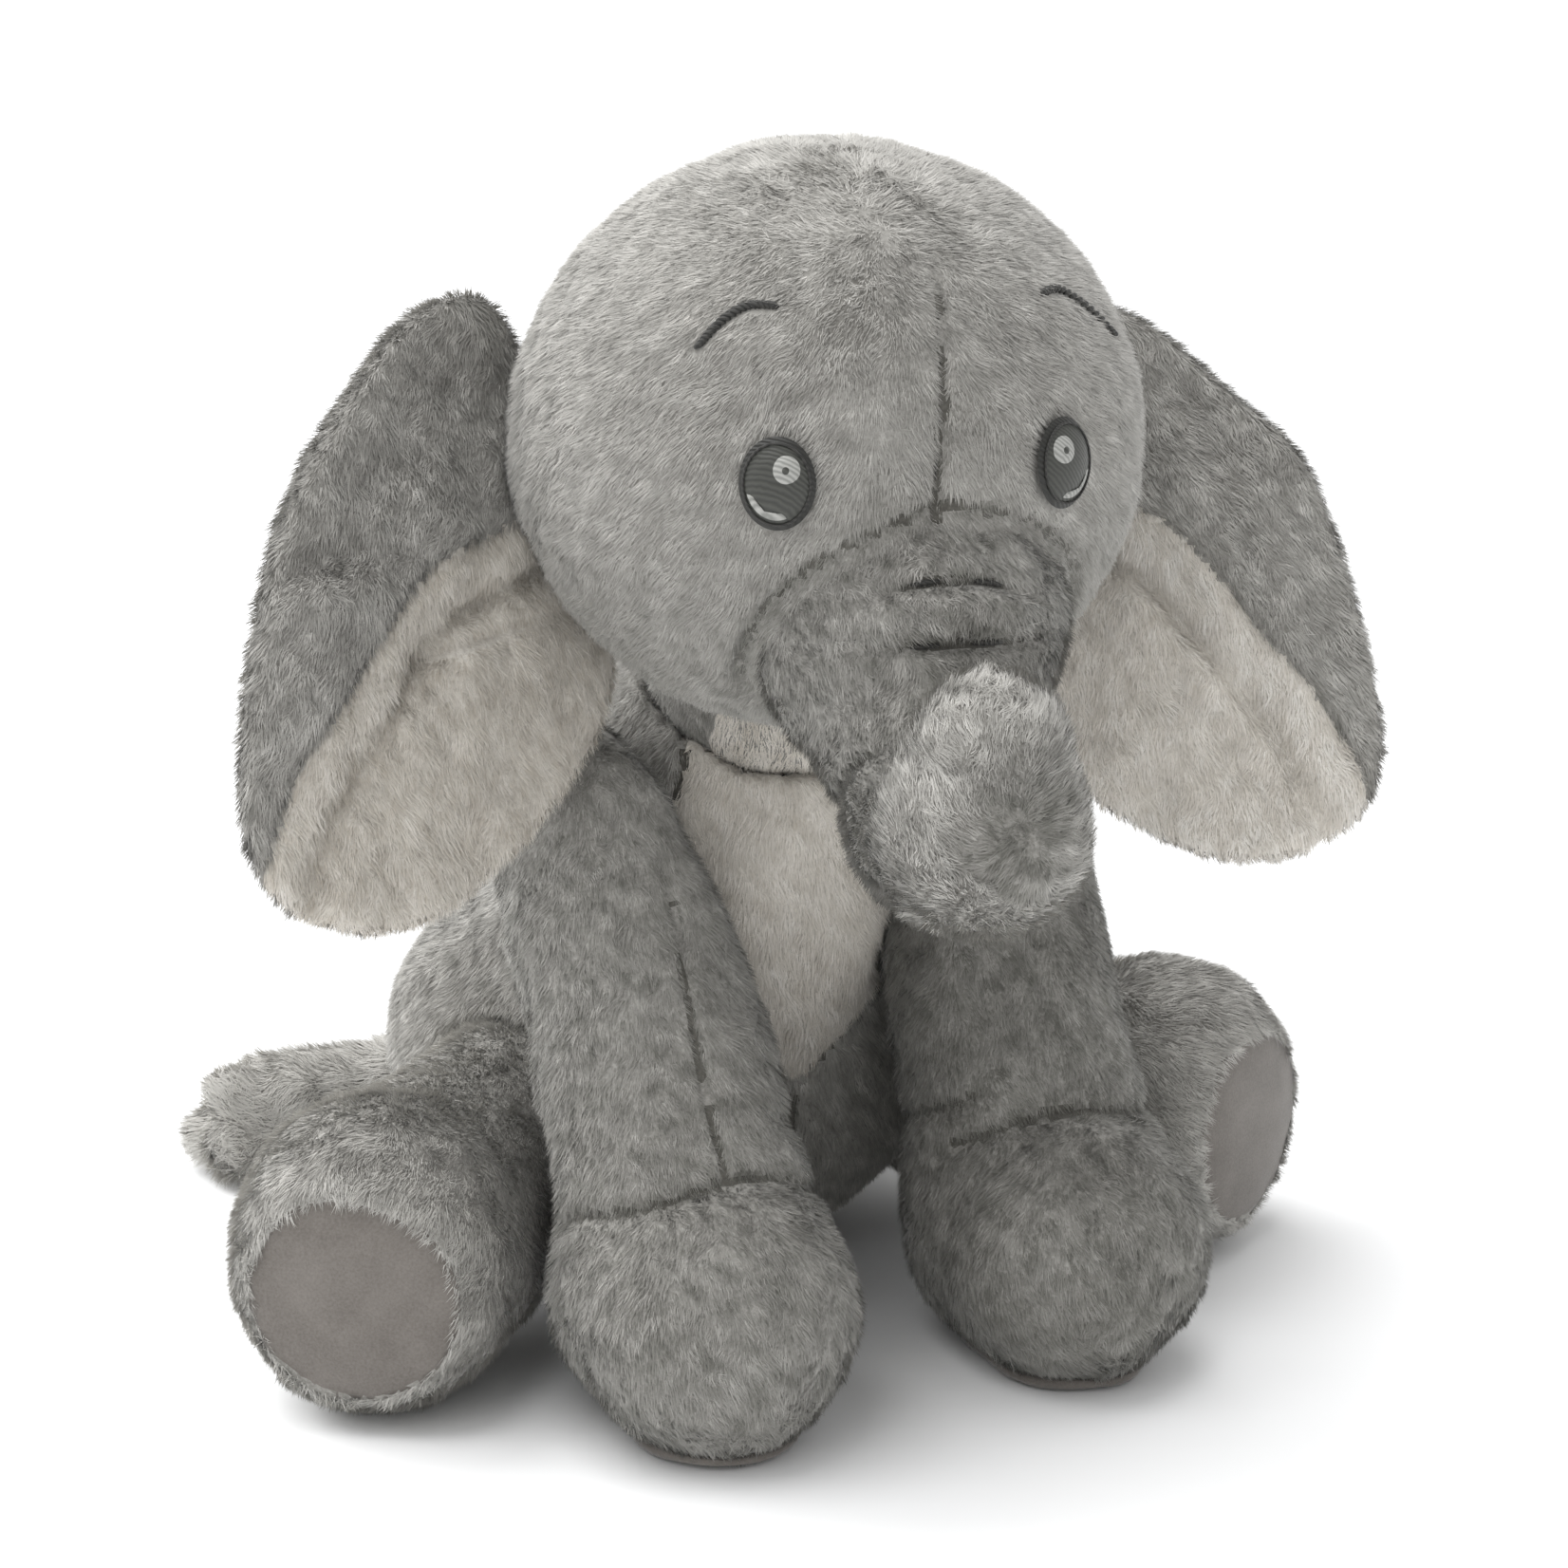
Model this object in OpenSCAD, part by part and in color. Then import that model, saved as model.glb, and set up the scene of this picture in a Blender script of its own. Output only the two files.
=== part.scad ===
// Seated stuffed elephant: plush fabric covers, stuffing, sewn-on ears, trunk, legs and tail.
// +Z is up, the elephant faces -Y, and the origin is the middle of the seat on the floor.

/* [Body] */
// Radius of the belly
belly_r = 70; // [66:1:72]
// Height of the belly centre above the floor
belly_z = 64; // [60:1:66]
// Radius of the chest under the chin
chest_r = 44; // [40:1:46]
// Thickness of the fabric with its pile
skin = 3; // [2:0.5:4]
// Gap between a cover and its stuffing
ease = 0.3; // [0.2:0.1:0.5]
// Gap between parts that move against each other
play = 0.6; // [0.5:0.1:1]

/* [Head] */
// Height radius of the head
head_r = 71; // [68:1:73]
// How much wider than high the head is, at each side
head_bulge = 4.5; // [3:0.5:6]
// Height of the head centre above the floor
head_z = 233; // [230:1:236]
// Turn of the face towards the elephant's right at rest, in degrees
face_turn = 5; // [0:1:8]
// Radius of the neck
neck_r = 33; // [30:1:34]
// Width of an eye patch
eye_w = 18; // [14:1:20]
// Height of an eye patch
eye_h = 22; // [18:1:24]
// Angle of each eye from the forehead seam
eye_angle = 29; // [25:1:32]

/* [Trunk] */
// Radius of the muzzle where the trunk starts
muzzle_r = 38; // [35:1:39]
// Radius of the trunk at its tip
trunk_tip_r = 16; // [14:1:18]

/* [Ears] */
// Thickness of the ear with both fabrics and its wadding
ear_t = 9; // [8:1:11]
// How much lower the left ear hangs than the right one, in degrees
ear_extra_droop = 7; // [0:1:8]
// Sweep of the ears towards the front, in degrees
ear_sweep = 22; // [15:1:25]
// Lean of the ears over the shoulders, lower end to the front, in degrees
ear_lean = 20; // [18:1:24]

/* [Legs] */
// Radius of a front leg at the shoulder
front_leg_r = 30; // [27:1:31]
// Radius of a front foot
front_foot_r = 36; // [33:1:36]
// How far the right front foot stands ahead of the left one
front_foot_lead = 10; // [0:1:12]
// Radius of a hind leg at the hip
hip_r = 30; // [28:1:31]
// Radius of a hind foot
hind_foot_r = 36; // [34:1:37]
// Angle of the hind soles away from straight ahead
sole_angle = 33; // [28:1:38]
// Radius of the sole pads
sole_r = 26; // [24:1:27]
// Thickness of the suede of the sole pads
sole_t = 2.5; // [2:0.5:3]

/* [Tail] */
// Radius of the tail
tail_r = 10; // [8:1:11]

/* [Hidden] */
$fn = 72;
big = 400;
// How much a bar starts below the end of the bar before it, in a bent chain of bars
bend_step = 0.3;
// How far the straight side of a round-ended bar lies inside its round ends
tuck = 0.03;
// Gap between the two halves of a front leg's cover
seam_gap = 0.1;

grey = [0.55, 0.54, 0.52];
cream = [0.78, 0.75, 0.70];
suede = [0.47, 0.43, 0.41];
thread = [0.17, 0.17, 0.16];
white = [0.92, 0.92, 0.90];

// Centres and pivots, all at rest
belly = [0, 0, belly_z];
chest = [0, -36, 140];
neck = [0, -57, 173];
head = [0, -94, head_z];
muzzle = [0, -140, 200];
trunk_path = [
    [muzzle, muzzle_r - 6], [[0, -159, 179], 24.5], [[0, -177, 159], 22.5],
    [[0, -193, 167], 19.5], [[0, -199, 184], trunk_tip_r]
];
ear_root_x = 78;
ear_root_y = -62;
ear_root_z = 235;
front_leg_x = 48;
front_hip = [front_leg_x, -62, 132];
ankle = [front_leg_x, -108, 42];
front_foot_z = 32;
hip = [60, -24, 42];
tail_root = [-12, 66, 34];
// How much wider the tail's notch in the torso is than the tail's root
tail_room = 4;
// Distance from the middle of a hind foot to its flat sole
hind_sole_out = 23;

function side_x(s) = s == "left" ? 1 : -1;
function hind_foot(s) = s == "left" ? [109, -64, hind_foot_r] : [-115, -79, hind_foot_r];
function foot_lead(s) = s == "left" ? 0 : front_foot_lead;
function front_foot(s) = [side_x(s) * front_leg_x, -112 - foot_lead(s), front_foot_z];
function front_toe(s) = [side_x(s) * front_leg_x, -126 - foot_lead(s), front_foot_z - 1];

// A round-ended tapered bar from a to b, as one solid of revolution
module tapered(a, ra, b, rb) {
    d = b - a;
    len = norm(d);
    tilt = acos(d[2] / len);
    slope = asin((ra - rb) / len);
    translate(a)
        rotate([0, tilt, atan2(d[1], d[0])])
            rotate_extrude()
                intersection() {
                    union() {
                        circle(r = ra);
                        translate([0, len])
                            circle(r = rb);
                        polygon([
                            [0, 0], [(ra - tuck) * cos(slope), (ra - tuck) * sin(slope)],
                            [(rb - tuck) * cos(slope), len + (rb - tuck) * sin(slope)], [0, len]
                        ]);
                    }
                    translate([0, -ra - 1])
                        square([big, len + ra + rb + 2]);
                }
}

// A ball that is a little wider than it is high
module wide_ball(r, bulge) {
    rotate_extrude()
        intersection() {
            union() {
                translate([bulge, 0])
                    circle(r = r);
                translate([0, -r])
                    square([bulge, 2 * r]);
            }
            translate([0, -r])
                square([big, 2 * r]);
        }
}

// One half of space, x above zero on the left side
module half(s) {
    translate([s == "left" ? 0 : -big, -big, -big])
        cube([big, 2 * big, 2 * big]);
}

module above(z) {
    translate([-big, -big, z])
        cube([2 * big, 2 * big, big]);
}

// Turns a shape about the neck from the straight pose to the rest pose
module on_head() {
    translate(neck)
        rotate([0, 0, -face_turn])
            translate(-neck)
                children();
}

module mirrored(s) {
    mirror([s == "left" ? 0 : 1, 0, 0])
        children();
}

// ---------- Torso ----------

// Room in the torso for a front leg and its swing: flat inner wall, round back
module front_leg_bay(s, grow) {
    r = front_leg_r + play + grow;
    inner_x = front_hip[0] - front_leg_r - play - grow;
    mirrored(s)
        translate([inner_x, 0, 0])
            rotate([90, 0, 90])
                linear_extrude(big)
                    union() {
                        translate([front_hip[1], front_hip[2]])
                            circle(r = r);
                        polygon([
                            [front_hip[1] - 4, front_hip[2] + r], [front_hip[1] - 150, front_hip[2] + r],
                            [front_hip[1] - 150, 0 - big], [ankle[1] + 44 + grow, 0 - big],
                            [ankle[1] + 44 + grow, 30],
                            [front_hip[1] + r * cos(24), front_hip[2] - r * sin(24)]
                        ]);
                    }
}

// Room in the torso for a hind leg: a round pocket that opens forwards and outwards
module hind_leg_bay(s, grow) {
    r = hip_r + play + grow;
    inner_line = 53;
    reach = 150;
    mirrored(s)
        translate([hip[0], hip[1], -big])
            linear_extrude(big + hip[2] + r)
                union() {
                    circle(r = r);
                    rotate(-inner_line)
                        translate([0, -0.97 * r])
                            square([reach, 0.97 * r]);
                    polygon([
                        [0, 0], [reach * cos(inner_line), -reach * sin(inner_line)],
                        [reach, -reach], [reach, 0.97 * r], [0, 0.97 * r]
                    ]);
                }
}

// A ball that fills the neck opening, with its pole towards the body that it is cut from
module neck_ball(r, pole_tilt) {
    translate(neck)
        rotate([pole_tilt, 0, 0])
            sphere(r = r);
}

module torso_form(inset, neck_tilt = 212) {
    difference() {
        intersection() {
            tapered(belly, belly_r - inset, chest, chest_r - inset);
            above(inset);
        }
        for (s = ["left", "right"]) {
            front_leg_bay(s, inset);
            hind_leg_bay(s, inset);
        }
        neck_ball(neck_r + play + inset, neck_tilt);
        translate(tail_root)
            rotate([0, 65, -79])
                sphere(r = tail_r + 1 + tail_room + inset);
    }
}

module torso_shell() {
    difference() {
        torso_form(0);
        torso_form(skin);
    }
}

// Outline of the pale chest panel, seen from the front
module bib_cutter() {
    translate([0, -20, 0])
        rotate([90, 0, 0])
            linear_extrude(big)
                polygon([
                    [-26, 190], [26, 190], [25, 150], [29, 118], [24, 92],
                    [0, 62], [-24, 92], [-29, 118], [-25, 150]
                ]);
}

module gusset_cutter() {
    translate([0, 0, -1])
        cylinder(r = 36, h = 7);
}

module torso_panel(s) {
    color(grey)
        intersection() {
            difference() {
                torso_shell();
                bib_cutter();
                gusset_cutter();
            }
            half(s);
        }
}

module bib_panel() {
    color(cream)
        intersection() {
            torso_shell();
            bib_cutter();
        }
}

module seat_gusset() {
    color(grey)
        intersection() {
            torso_shell();
            gusset_cutter();
        }
}

// The pellet pouch sits on the seat, so its room in the stuffing is open below
module pouch_form(grow, floor_z) {
    intersection() {
        translate([0, 8, 24])
            sphere(r = 25 + grow);
        above(floor_z);
    }
}

module torso_stuffing() {
    color(white)
        difference() {
            torso_form(skin + 2 * ease, 0);
            pouch_form(ease, 0);
        }
}

module pellet_pouch() {
    color(cream)
        pouch_form(0, skin + ease);
}

module neck_stuffing() {
    color(grey)
        translate(neck)
            sphere(r = neck_r);
}

// ---------- Head ----------

module head_form(inset, muzzle_tilt = -54, neck_tilt = 32) {
    difference() {
        translate(head)
            wide_ball(head_r - inset, head_bulge);
        translate(muzzle)
            rotate([muzzle_tilt, 0, 0])
                sphere(r = muzzle_r + play + inset);
        neck_ball(neck_r + play + inset, neck_tilt);
    }
}

module head_panel(s) {
    color(grey)
        on_head()
            intersection() {
                difference() {
                    head_form(0);
                    head_form(skin);
                }
                half(s);
            }
}

module head_stuffing() {
    color(white)
        on_head()
            head_form(skin + ease, 0, 0);
}

module eye(s) {
    gap = 0.2;
    eye_t = 1.2;
    $fn = 180;
    color(thread)
        on_head()
            intersection() {
                translate(head)
                    difference() {
                        wide_ball(head_r + gap + eye_t, head_bulge);
                        wide_ball(head_r + gap, head_bulge);
                    }
                translate(head)
                    rotate([90, 0, side_x(s) * eye_angle])
                        scale([eye_w / eye_h, 1, 1])
                            cylinder(r = eye_h / 2, h = big);
            }
}

module brow(s) {
    brow_bend = 18;
    brow_thread_r = 0.9;
    brow_sweep = 66;
    lift = head_r + head_bulge + 1.4;
    color(thread)
        on_head()
            translate(head)
                rotate([0, 0, side_x(s) * 26])
                    rotate([-27, 0, 0])
                        translate([0, -lift, 0])
                            rotate([90, 0, 0])
                                translate([0, -brow_bend, 0])
                                    rotate([0, 0, 90 - side_x(s) * 12 - brow_sweep / 2])
                                        rotate_extrude(angle = brow_sweep)
                                            translate([brow_bend, 0])
                                                circle(r = brow_thread_r);
}

// ---------- Trunk ----------

module trunk_form(inset, step) {
    translate(muzzle)
        rotate([-42, 0, 0])
            sphere(r = muzzle_r - inset);
    for (i = [0 : len(trunk_path) - 2])
        tapered(
            trunk_path[i][0], trunk_path[i][1] - inset - step,
            trunk_path[i + 1][0], trunk_path[i + 1][1] - inset
        );
}

module trunk_cover() {
    color(grey)
        on_head()
            difference() {
                trunk_form(0, 0);
                trunk_form(skin, 0);
            }
}

module trunk_stuffing() {
    color(white)
        on_head()
            trunk_form(skin + ease, bend_step);
}

// Four tacking stitches that pull wrinkles into the top of the trunk
module wrinkle_stitches() {
    stitch_r = 0.8;
    stitch_l = 9;
    stitch_out = [1.2, 3.5];
    color(thread)
        on_head()
            translate(muzzle)
                for (row = [0, 1])
                    for (x = [-1, 1])
                        rotate([row * 30 - 20, 0, x * 12])
                            translate([-stitch_l / 2, -muzzle_r - stitch_out[row], 0])
                                rotate([0, 90, 0])
                                    cylinder(r = stitch_r, h = stitch_l);
}

// ---------- Ears ----------

// Half-outline of an ear in its own plane, from the head outwards, around the root's middle
module ear_outline() {
    polygon([
        [0, 30], [14, 27], [33, 12], [58, -10], [72, -38], [81, -60], [85, -78],
        [85, -92], [78, -103], [64, -110], [50, -111], [36, -108], [24, -99],
        [14, -87], [6, -72], [0, -54], [-1, -40], [0, -30]
    ]);
}

module ear_form(s, t) {
    droop = s == "left" ? ear_extra_droop : 0;
    mirrored(s)
        translate([ear_root_x, ear_root_y, ear_root_z])
            rotate([-ear_lean, 0, -ear_sweep]) {
                translate([0, t / 2, 0])
                    rotate([90, 0, 0])
                        linear_extrude(t)
                            rotate([0, 0, -droop])
                                ear_outline();
                translate([0, 0, -28])
                    cylinder(r = t / 2, h = 56);
            }
}

// A layer of an ear between two depths from its back face
module ear_layer(s, from, to) {
    on_head()
        intersection() {
            ear_form(s, ear_t);
            mirrored(s)
                translate([ear_root_x, ear_root_y, ear_root_z])
                    rotate([-ear_lean, 0, -ear_sweep])
                        translate([-big / 2, ear_t / 2 - to, -big])
                            cube([big, to - from, 2 * big]);
        }
}

module ear_back(s) {
    color(grey)
        ear_layer(s, 0, skin);
}

module ear_wadding(s) {
    color(white)
        ear_layer(s, skin + ease, ear_t - skin - ease);
}

module ear_lining(s) {
    color(cream)
        ear_layer(s, ear_t - skin, ear_t);
}

// ---------- Legs ----------

module front_leg_form(s, inset) {
    hip_at = [side_x(s) * front_hip[0], front_hip[1], front_hip[2]];
    ankle_at = [side_x(s) * ankle[0], ankle[1] - foot_lead(s), ankle[2]];
    intersection() {
        union() {
            tapered(hip_at, front_leg_r - inset, ankle_at, front_leg_r + 2 - inset);
            tapered(front_foot(s), front_foot_r - inset, front_toe(s), front_foot_r - 1 - inset);
        }
        above(inset);
    }
}

module front_sole_cutter(s, grow) {
    translate([0, 0, -1])
        linear_extrude(sole_t + 1 + grow)
            square([big, big], center = true);
}

module front_leg_shell(s) {
    difference() {
        front_leg_form(s, 0);
        front_leg_form(s, skin);
        front_sole_cutter(s, 0);
    }
}

// The half of space outside, or inside, the seams down the front and back of a front leg
module front_leg_half(s, outer) {
    way = outer ? side_x(s) : -side_x(s);
    translate([side_x(s) * front_leg_x + way * seam_gap / 2 + (way > 0 ? 0 : -big), -big, -big])
        cube([big, 2 * big, 2 * big]);
}

module front_leg_outer(s) {
    color(grey)
        intersection() {
            front_leg_shell(s);
            front_leg_half(s, true);
        }
}

module front_leg_inner(s) {
    color(grey)
        intersection() {
            front_leg_shell(s);
            front_leg_half(s, false);
        }
}

module front_leg_stuffing(s) {
    color(white)
        front_leg_form(s, skin + 2 * ease);
}

module front_sole(s) {
    color(suede)
        intersection() {
            front_leg_form(s, 0);
            front_sole_cutter(s, 0);
        }
}

// The half of space behind the sole of a hind foot
module behind_sole(s, depth) {
    translate(hind_foot(s))
        rotate([0, 0, side_x(s) * sole_angle])
            translate([-big, depth - hind_sole_out, -big])
                cube([2 * big, big, 2 * big]);
}

module hind_leg_form(s, inset) {
    hip_at = [side_x(s) * hip[0], hip[1], hip[2]];
    intersection() {
        tapered(hip_at, hip_r - inset, hind_foot(s), hind_foot_r - inset);
        behind_sole(s, inset);
        above(inset);
    }
}

module hind_sole_disc(s, grow) {
    translate(hind_foot(s))
        rotate([0, 0, side_x(s) * sole_angle])
            translate([0, -hind_sole_out - 1, 0])
                rotate([-90, 0, 0])
                    cylinder(r = sole_r + grow, h = sole_t + 1 + grow);
}

module hind_leg_cover(s) {
    color(grey)
        difference() {
            hind_leg_form(s, 0);
            hind_leg_form(s, skin);
            hind_sole_disc(s, 0);
        }
}

module hind_leg_stuffing(s) {
    color(white)
        difference() {
            hind_leg_form(s, skin + ease);
            hind_sole_disc(s, ease);
        }
}

module hind_sole(s) {
    color(suede)
        intersection() {
            hind_leg_form(s, 0);
            hind_sole_disc(s, 0);
        }
}

// ---------- Tail ----------

module tail_form(inset) {
    bend = [-50, 76, 18];
    tip = [-98, 80, 14];
    tuft = [-112, 79, 15];
    tapered(tail_root, tail_r + 1 - inset, bend, tail_r - inset);
    tapered(bend, tail_r - inset - bend_step, tip, tail_r + 1 - inset);
    tapered(tip, tail_r + 1 - inset - bend_step, tuft, tail_r + 4 - inset);
}

module tail_cover() {
    color(grey)
        difference() {
            tail_form(0);
            tail_form(skin);
        }
}

module tail_stuffing() {
    color(white)
        tail_form(skin + ease);
}

torso_panel("left");  // torso_panel_left
torso_panel("right");  // torso_panel_right
bib_panel();
seat_gusset();
torso_stuffing();
pellet_pouch();
neck_stuffing();
head_panel("left");  // head_panel_left
head_panel("right");  // head_panel_right
head_stuffing();
eye("left");  // eye_left
eye("right");  // eye_right
brow("left");  // brow_left
brow("right");  // brow_right
trunk_cover();
trunk_stuffing();
wrinkle_stitches();
ear_back("left");  // ear_back_left
ear_wadding("left");  // ear_wadding_left
ear_lining("left");  // ear_lining_left
ear_back("right");  // ear_back_right
ear_wadding("right");  // ear_wadding_right
ear_lining("right");  // ear_lining_right
front_leg_outer("left");  // front_leg_outer_left
front_leg_inner("left");  // front_leg_inner_left
front_leg_stuffing("left");  // front_leg_stuffing_left
front_sole("left");  // front_sole_left
front_leg_outer("right");  // front_leg_outer_right
front_leg_inner("right");  // front_leg_inner_right
front_leg_stuffing("right");  // front_leg_stuffing_right
front_sole("right");  // front_sole_right
hind_leg_cover("left");  // hind_leg_cover_left
hind_leg_stuffing("left");  // hind_leg_stuffing_left
hind_sole("left");  // hind_sole_left
hind_leg_cover("right");  // hind_leg_cover_right
hind_leg_stuffing("right");  // hind_leg_stuffing_right
hind_sole("right");  // hind_sole_right
tail_cover();
tail_stuffing();
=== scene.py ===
import math

import bpy
import numpy as np
from mathutils import Matrix, Vector


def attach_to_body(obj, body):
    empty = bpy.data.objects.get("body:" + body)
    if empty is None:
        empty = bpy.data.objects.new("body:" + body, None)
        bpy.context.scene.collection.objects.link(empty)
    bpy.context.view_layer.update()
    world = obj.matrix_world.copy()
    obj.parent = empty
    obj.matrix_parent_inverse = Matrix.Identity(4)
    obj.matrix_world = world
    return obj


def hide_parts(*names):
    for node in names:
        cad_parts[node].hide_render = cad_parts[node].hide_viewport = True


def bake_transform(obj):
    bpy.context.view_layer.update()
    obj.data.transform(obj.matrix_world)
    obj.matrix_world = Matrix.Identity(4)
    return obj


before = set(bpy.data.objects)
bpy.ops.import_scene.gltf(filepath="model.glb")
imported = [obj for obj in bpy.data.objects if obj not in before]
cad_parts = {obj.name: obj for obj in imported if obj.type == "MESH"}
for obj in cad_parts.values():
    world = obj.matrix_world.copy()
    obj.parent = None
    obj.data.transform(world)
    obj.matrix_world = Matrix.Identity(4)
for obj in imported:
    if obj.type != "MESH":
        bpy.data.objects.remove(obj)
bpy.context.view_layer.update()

# Every length below is in millimetres until a mesh is made; the elephant faces -Y and sits on z = 0.
MM = 0.001

# ---------- Where the parts are ----------


def vec(*numbers):
    return np.array(numbers, float)


def spin(axis, degrees, centre):
    """A 4x4 turn about an axis through a point."""
    c = Vector(centre)
    turn = Matrix.Translation(c) @ Matrix.Rotation(math.radians(degrees), 4, Vector(axis)) @ Matrix.Translation(-c)
    return np.array(turn)


def moved(points, place):
    return points @ place[:3, :3].T + place[:3, 3]


def mirrors(place):
    """Whether a place turns left into right, as the right ear's does."""
    return np.linalg.det(place[:3, :3]) < 0


FACE_TURN = 5.0
BELLY = vec(0, 0, 64)
CHEST = vec(0, -36, 140)
NECK = vec(0, -57, 173)
HEAD = vec(0, -94, 233)
HEAD_SIZE = vec(76, 75, 71.5)
MUZZLE = vec(4, -140, 200)
MUZZLE_SIZE = vec(38.5, 38, 38.5)
TRUNK = [
    (vec(3, -146, 192), 31.0), (vec(3, -160, 178), 26.5), (vec(3, -177, 163), 24.5),
    (vec(4, -191, 165), 24.5), (vec(4, -196, 184), 19.0),
]
# Two points across the root of the trunk, given with its pieces.
TRUNK_BEND = np.array([(0, -150, 197), (0, -172, 172)], float)
# The whorl of the pile on the trunk's tip, and the angles of the two rows of stitched tucks.
SWIRL = vec(7, -221, 172)
ROW_ANGLES = (27, 4)
NECK_R = 33.5
STILL = np.eye(4)
ON_HEAD = spin((0, 0, 1), -FACE_TURN, NECK)
SIDES = {"left": 1, "right": -1}

EAR_SWEEP = 22.0
EAR_LEAN = 20.0
EAR_DROOP = {"left": 7.0, "right": 0.0}
EAR_TOP_DROP = {"left": 10, "right": 0}
# Two points across an ear's root in its own axes, given with its pieces.
EAR_BEND = np.array([(-14.0, 0, 0), (16.0, 0, 0)])
EAR_ROOT = {s: vec(78 * x, -62, 235) for s, x in SIDES.items()}
EAR_OUTLINE = [
    (-14, 27), (0, 32), (16, 27), (34, 12), (58, -10), (72, -38), (81, -60), (86, -78), (86, -92),
    (78, -103), (64, -111), (50, -113), (34, -110), (15, -102), (-3, -90), (-19, -76), (-27, -57),
    (-25, -32), (-17, 0),
]
EAR_SEAM = [(-12, -22), (2, -27), (22, -31), (36, -41), (50, -55), (62, -65), (73, -76), (83, -92), (88, -104)]


def ear_place(side):
    """From an ear's own axes (outwards, up, forwards) to the rest pose."""
    x = SIDES[side]
    sweep, lean = math.radians(EAR_SWEEP), math.radians(EAR_LEAN)
    out = vec(x * math.cos(sweep), -math.sin(sweep), 0)
    front = vec(-x * math.sin(sweep), -math.cos(sweep), 0)
    up = math.cos(lean) * vec(0, 0, 1) - math.sin(lean) * front
    face = math.cos(lean) * front + math.sin(lean) * vec(0, 0, 1)
    droop = math.radians(EAR_DROOP[side])
    place = np.eye(4)
    place[:3, 0] = math.cos(droop) * out - math.sin(droop) * up
    place[:3, 1] = math.sin(droop) * out + math.cos(droop) * up
    place[:3, 2] = face
    place[:3, 3] = EAR_ROOT[side]
    return ON_HEAD @ place


# The covers sit this far inside the outer face of their cloth, and the pile fills the rest.
PILE_ROOM = 1.7

# ---------- Distance fields: negative inside the cloth, positive outside ----------


def ball(p, centre, r):
    return np.linalg.norm(p - centre, axis=1) - r


def egg(p, centre, size):
    """An ellipsoid with these three radii."""
    k0 = np.linalg.norm((p - centre) / size, axis=1)
    k1 = np.linalg.norm((p - centre) / size**2, axis=1)
    return k0 * (k0 - 1) / np.maximum(k1, 1e-9)


def bar(p, a, ra, b, rb):
    """A round bar from a to b."""
    along = b - a
    t = np.clip((p - a) @ along / (along @ along), 0, 1)
    return np.linalg.norm(p - a - t[:, None] * along, axis=1) - (ra + (rb - ra) * t)


def melt(a, b, k):
    """Two forms joined, with a soft fillet."""
    h = np.clip(0.5 + 0.5 * (b - a) / k, 0, 1)
    return b + (a - b) * h - k * h * (1 - h)


def carve(a, b, k):
    """a with b taken out of it, with soft edges."""
    return -melt(-a, b, k)


def bump(x, width):
    return np.exp(-((x / width) ** 2))


def step(x, low, high):
    t = np.clip((x - low) / (high - low), 0, 1)
    return t * t * (3 - 2 * t)


def ripple(p, size, seed):
    """Smooth noise of about -1 to 1, with waves of this size."""
    rng = np.random.default_rng(seed)
    k = rng.normal(size=(12, 3))
    k *= (2 * math.pi / size) * rng.uniform(0.6, 1.5, (12, 1)) / np.linalg.norm(k, axis=1)[:, None]
    return np.sin(p @ k.T + rng.uniform(0, 2 * math.pi, 12)).sum(1) / 3.4


def rounded(points, rounds=2, closed=True):
    """A polygon or a line with its corners cut, as an array."""
    q = np.array(points, float)
    for _ in range(rounds):
        after = np.roll(q, -1, axis=0) if closed else q[1:]
        before = q if closed else q[:-1]
        cut = np.stack([0.75 * before + 0.25 * after, 0.25 * before + 0.75 * after], 1).reshape(-1, 2)
        q = cut if closed else np.vstack([q[:1], cut, q[-1:]])
    return q


def line_distance(p, line, closed):
    """Distance to a flat line, and the side of its nearest piece: 1 on the left, -1 on the right."""
    a = line if closed else line[:-1]
    b = np.roll(line, -1, axis=0) if closed else line[1:]
    best = np.full(len(p), 1e9)
    side = np.ones(len(p))
    for s, e in zip(a, b):
        d = e - s
        t = np.clip((p - s) @ d / (d @ d), 0, 1)
        off = p - s - t[:, None] * d
        r = np.linalg.norm(off, axis=1)
        near = r < best
        best[near] = r[near]
        side[near] = np.where(d[0] * off[near, 1] - d[1] * off[near, 0] > 0, 1, -1)
    return best, side


def inside_outline(p, line):
    a, b = line, np.roll(line, -1, axis=0)
    odd = np.zeros(len(p), bool)
    for s, e in zip(a, b):
        if s[1] == e[1]:
            continue
        over = (s[1] > p[:, 1]) != (e[1] > p[:, 1])
        odd ^= over & (p[:, 0] < (e[0] - s[0]) * (p[:, 1] - s[1]) / (e[1] - s[1]) + s[0])
    return odd


def sewn(d, lines):
    """A form with its seams and folds sunk into it."""
    for depth, near in lines:
        d = d + depth * near
    return d


def chain(p, d, links, k):
    """Round bars from ball to ball, melted into d."""
    for (a, ra), (b, rb) in zip(links, links[1:]):
        d = melt(d, bar(p, a, ra, b, rb), k)
    return d


def closest(lines, count, sunk=False):
    """How close each point is to a seam or fold, from 0 to 1; sunk leaves out those that have no depth."""
    near = np.zeros(count)
    for depth, closeness in lines:
        near = np.maximum(near, closeness * (depth > 0) if sunk else closeness)
    return near


# ---------- The forms of the covers, each in its own axes ----------

EYES = {"left": vec(35.1, -160.4, 238), "right": vec(-33.5, -161.1, 238)}


def plain_head(p):
    """The head without its details; the chin is flatter than the crown."""
    q = (p - HEAD) * np.stack([np.ones(len(p)), np.ones(len(p)), np.where(p[:, 2] < HEAD[2], 1.035, 1.0)], 1)
    return egg(q, np.zeros(3), HEAD_SIZE)


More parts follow.
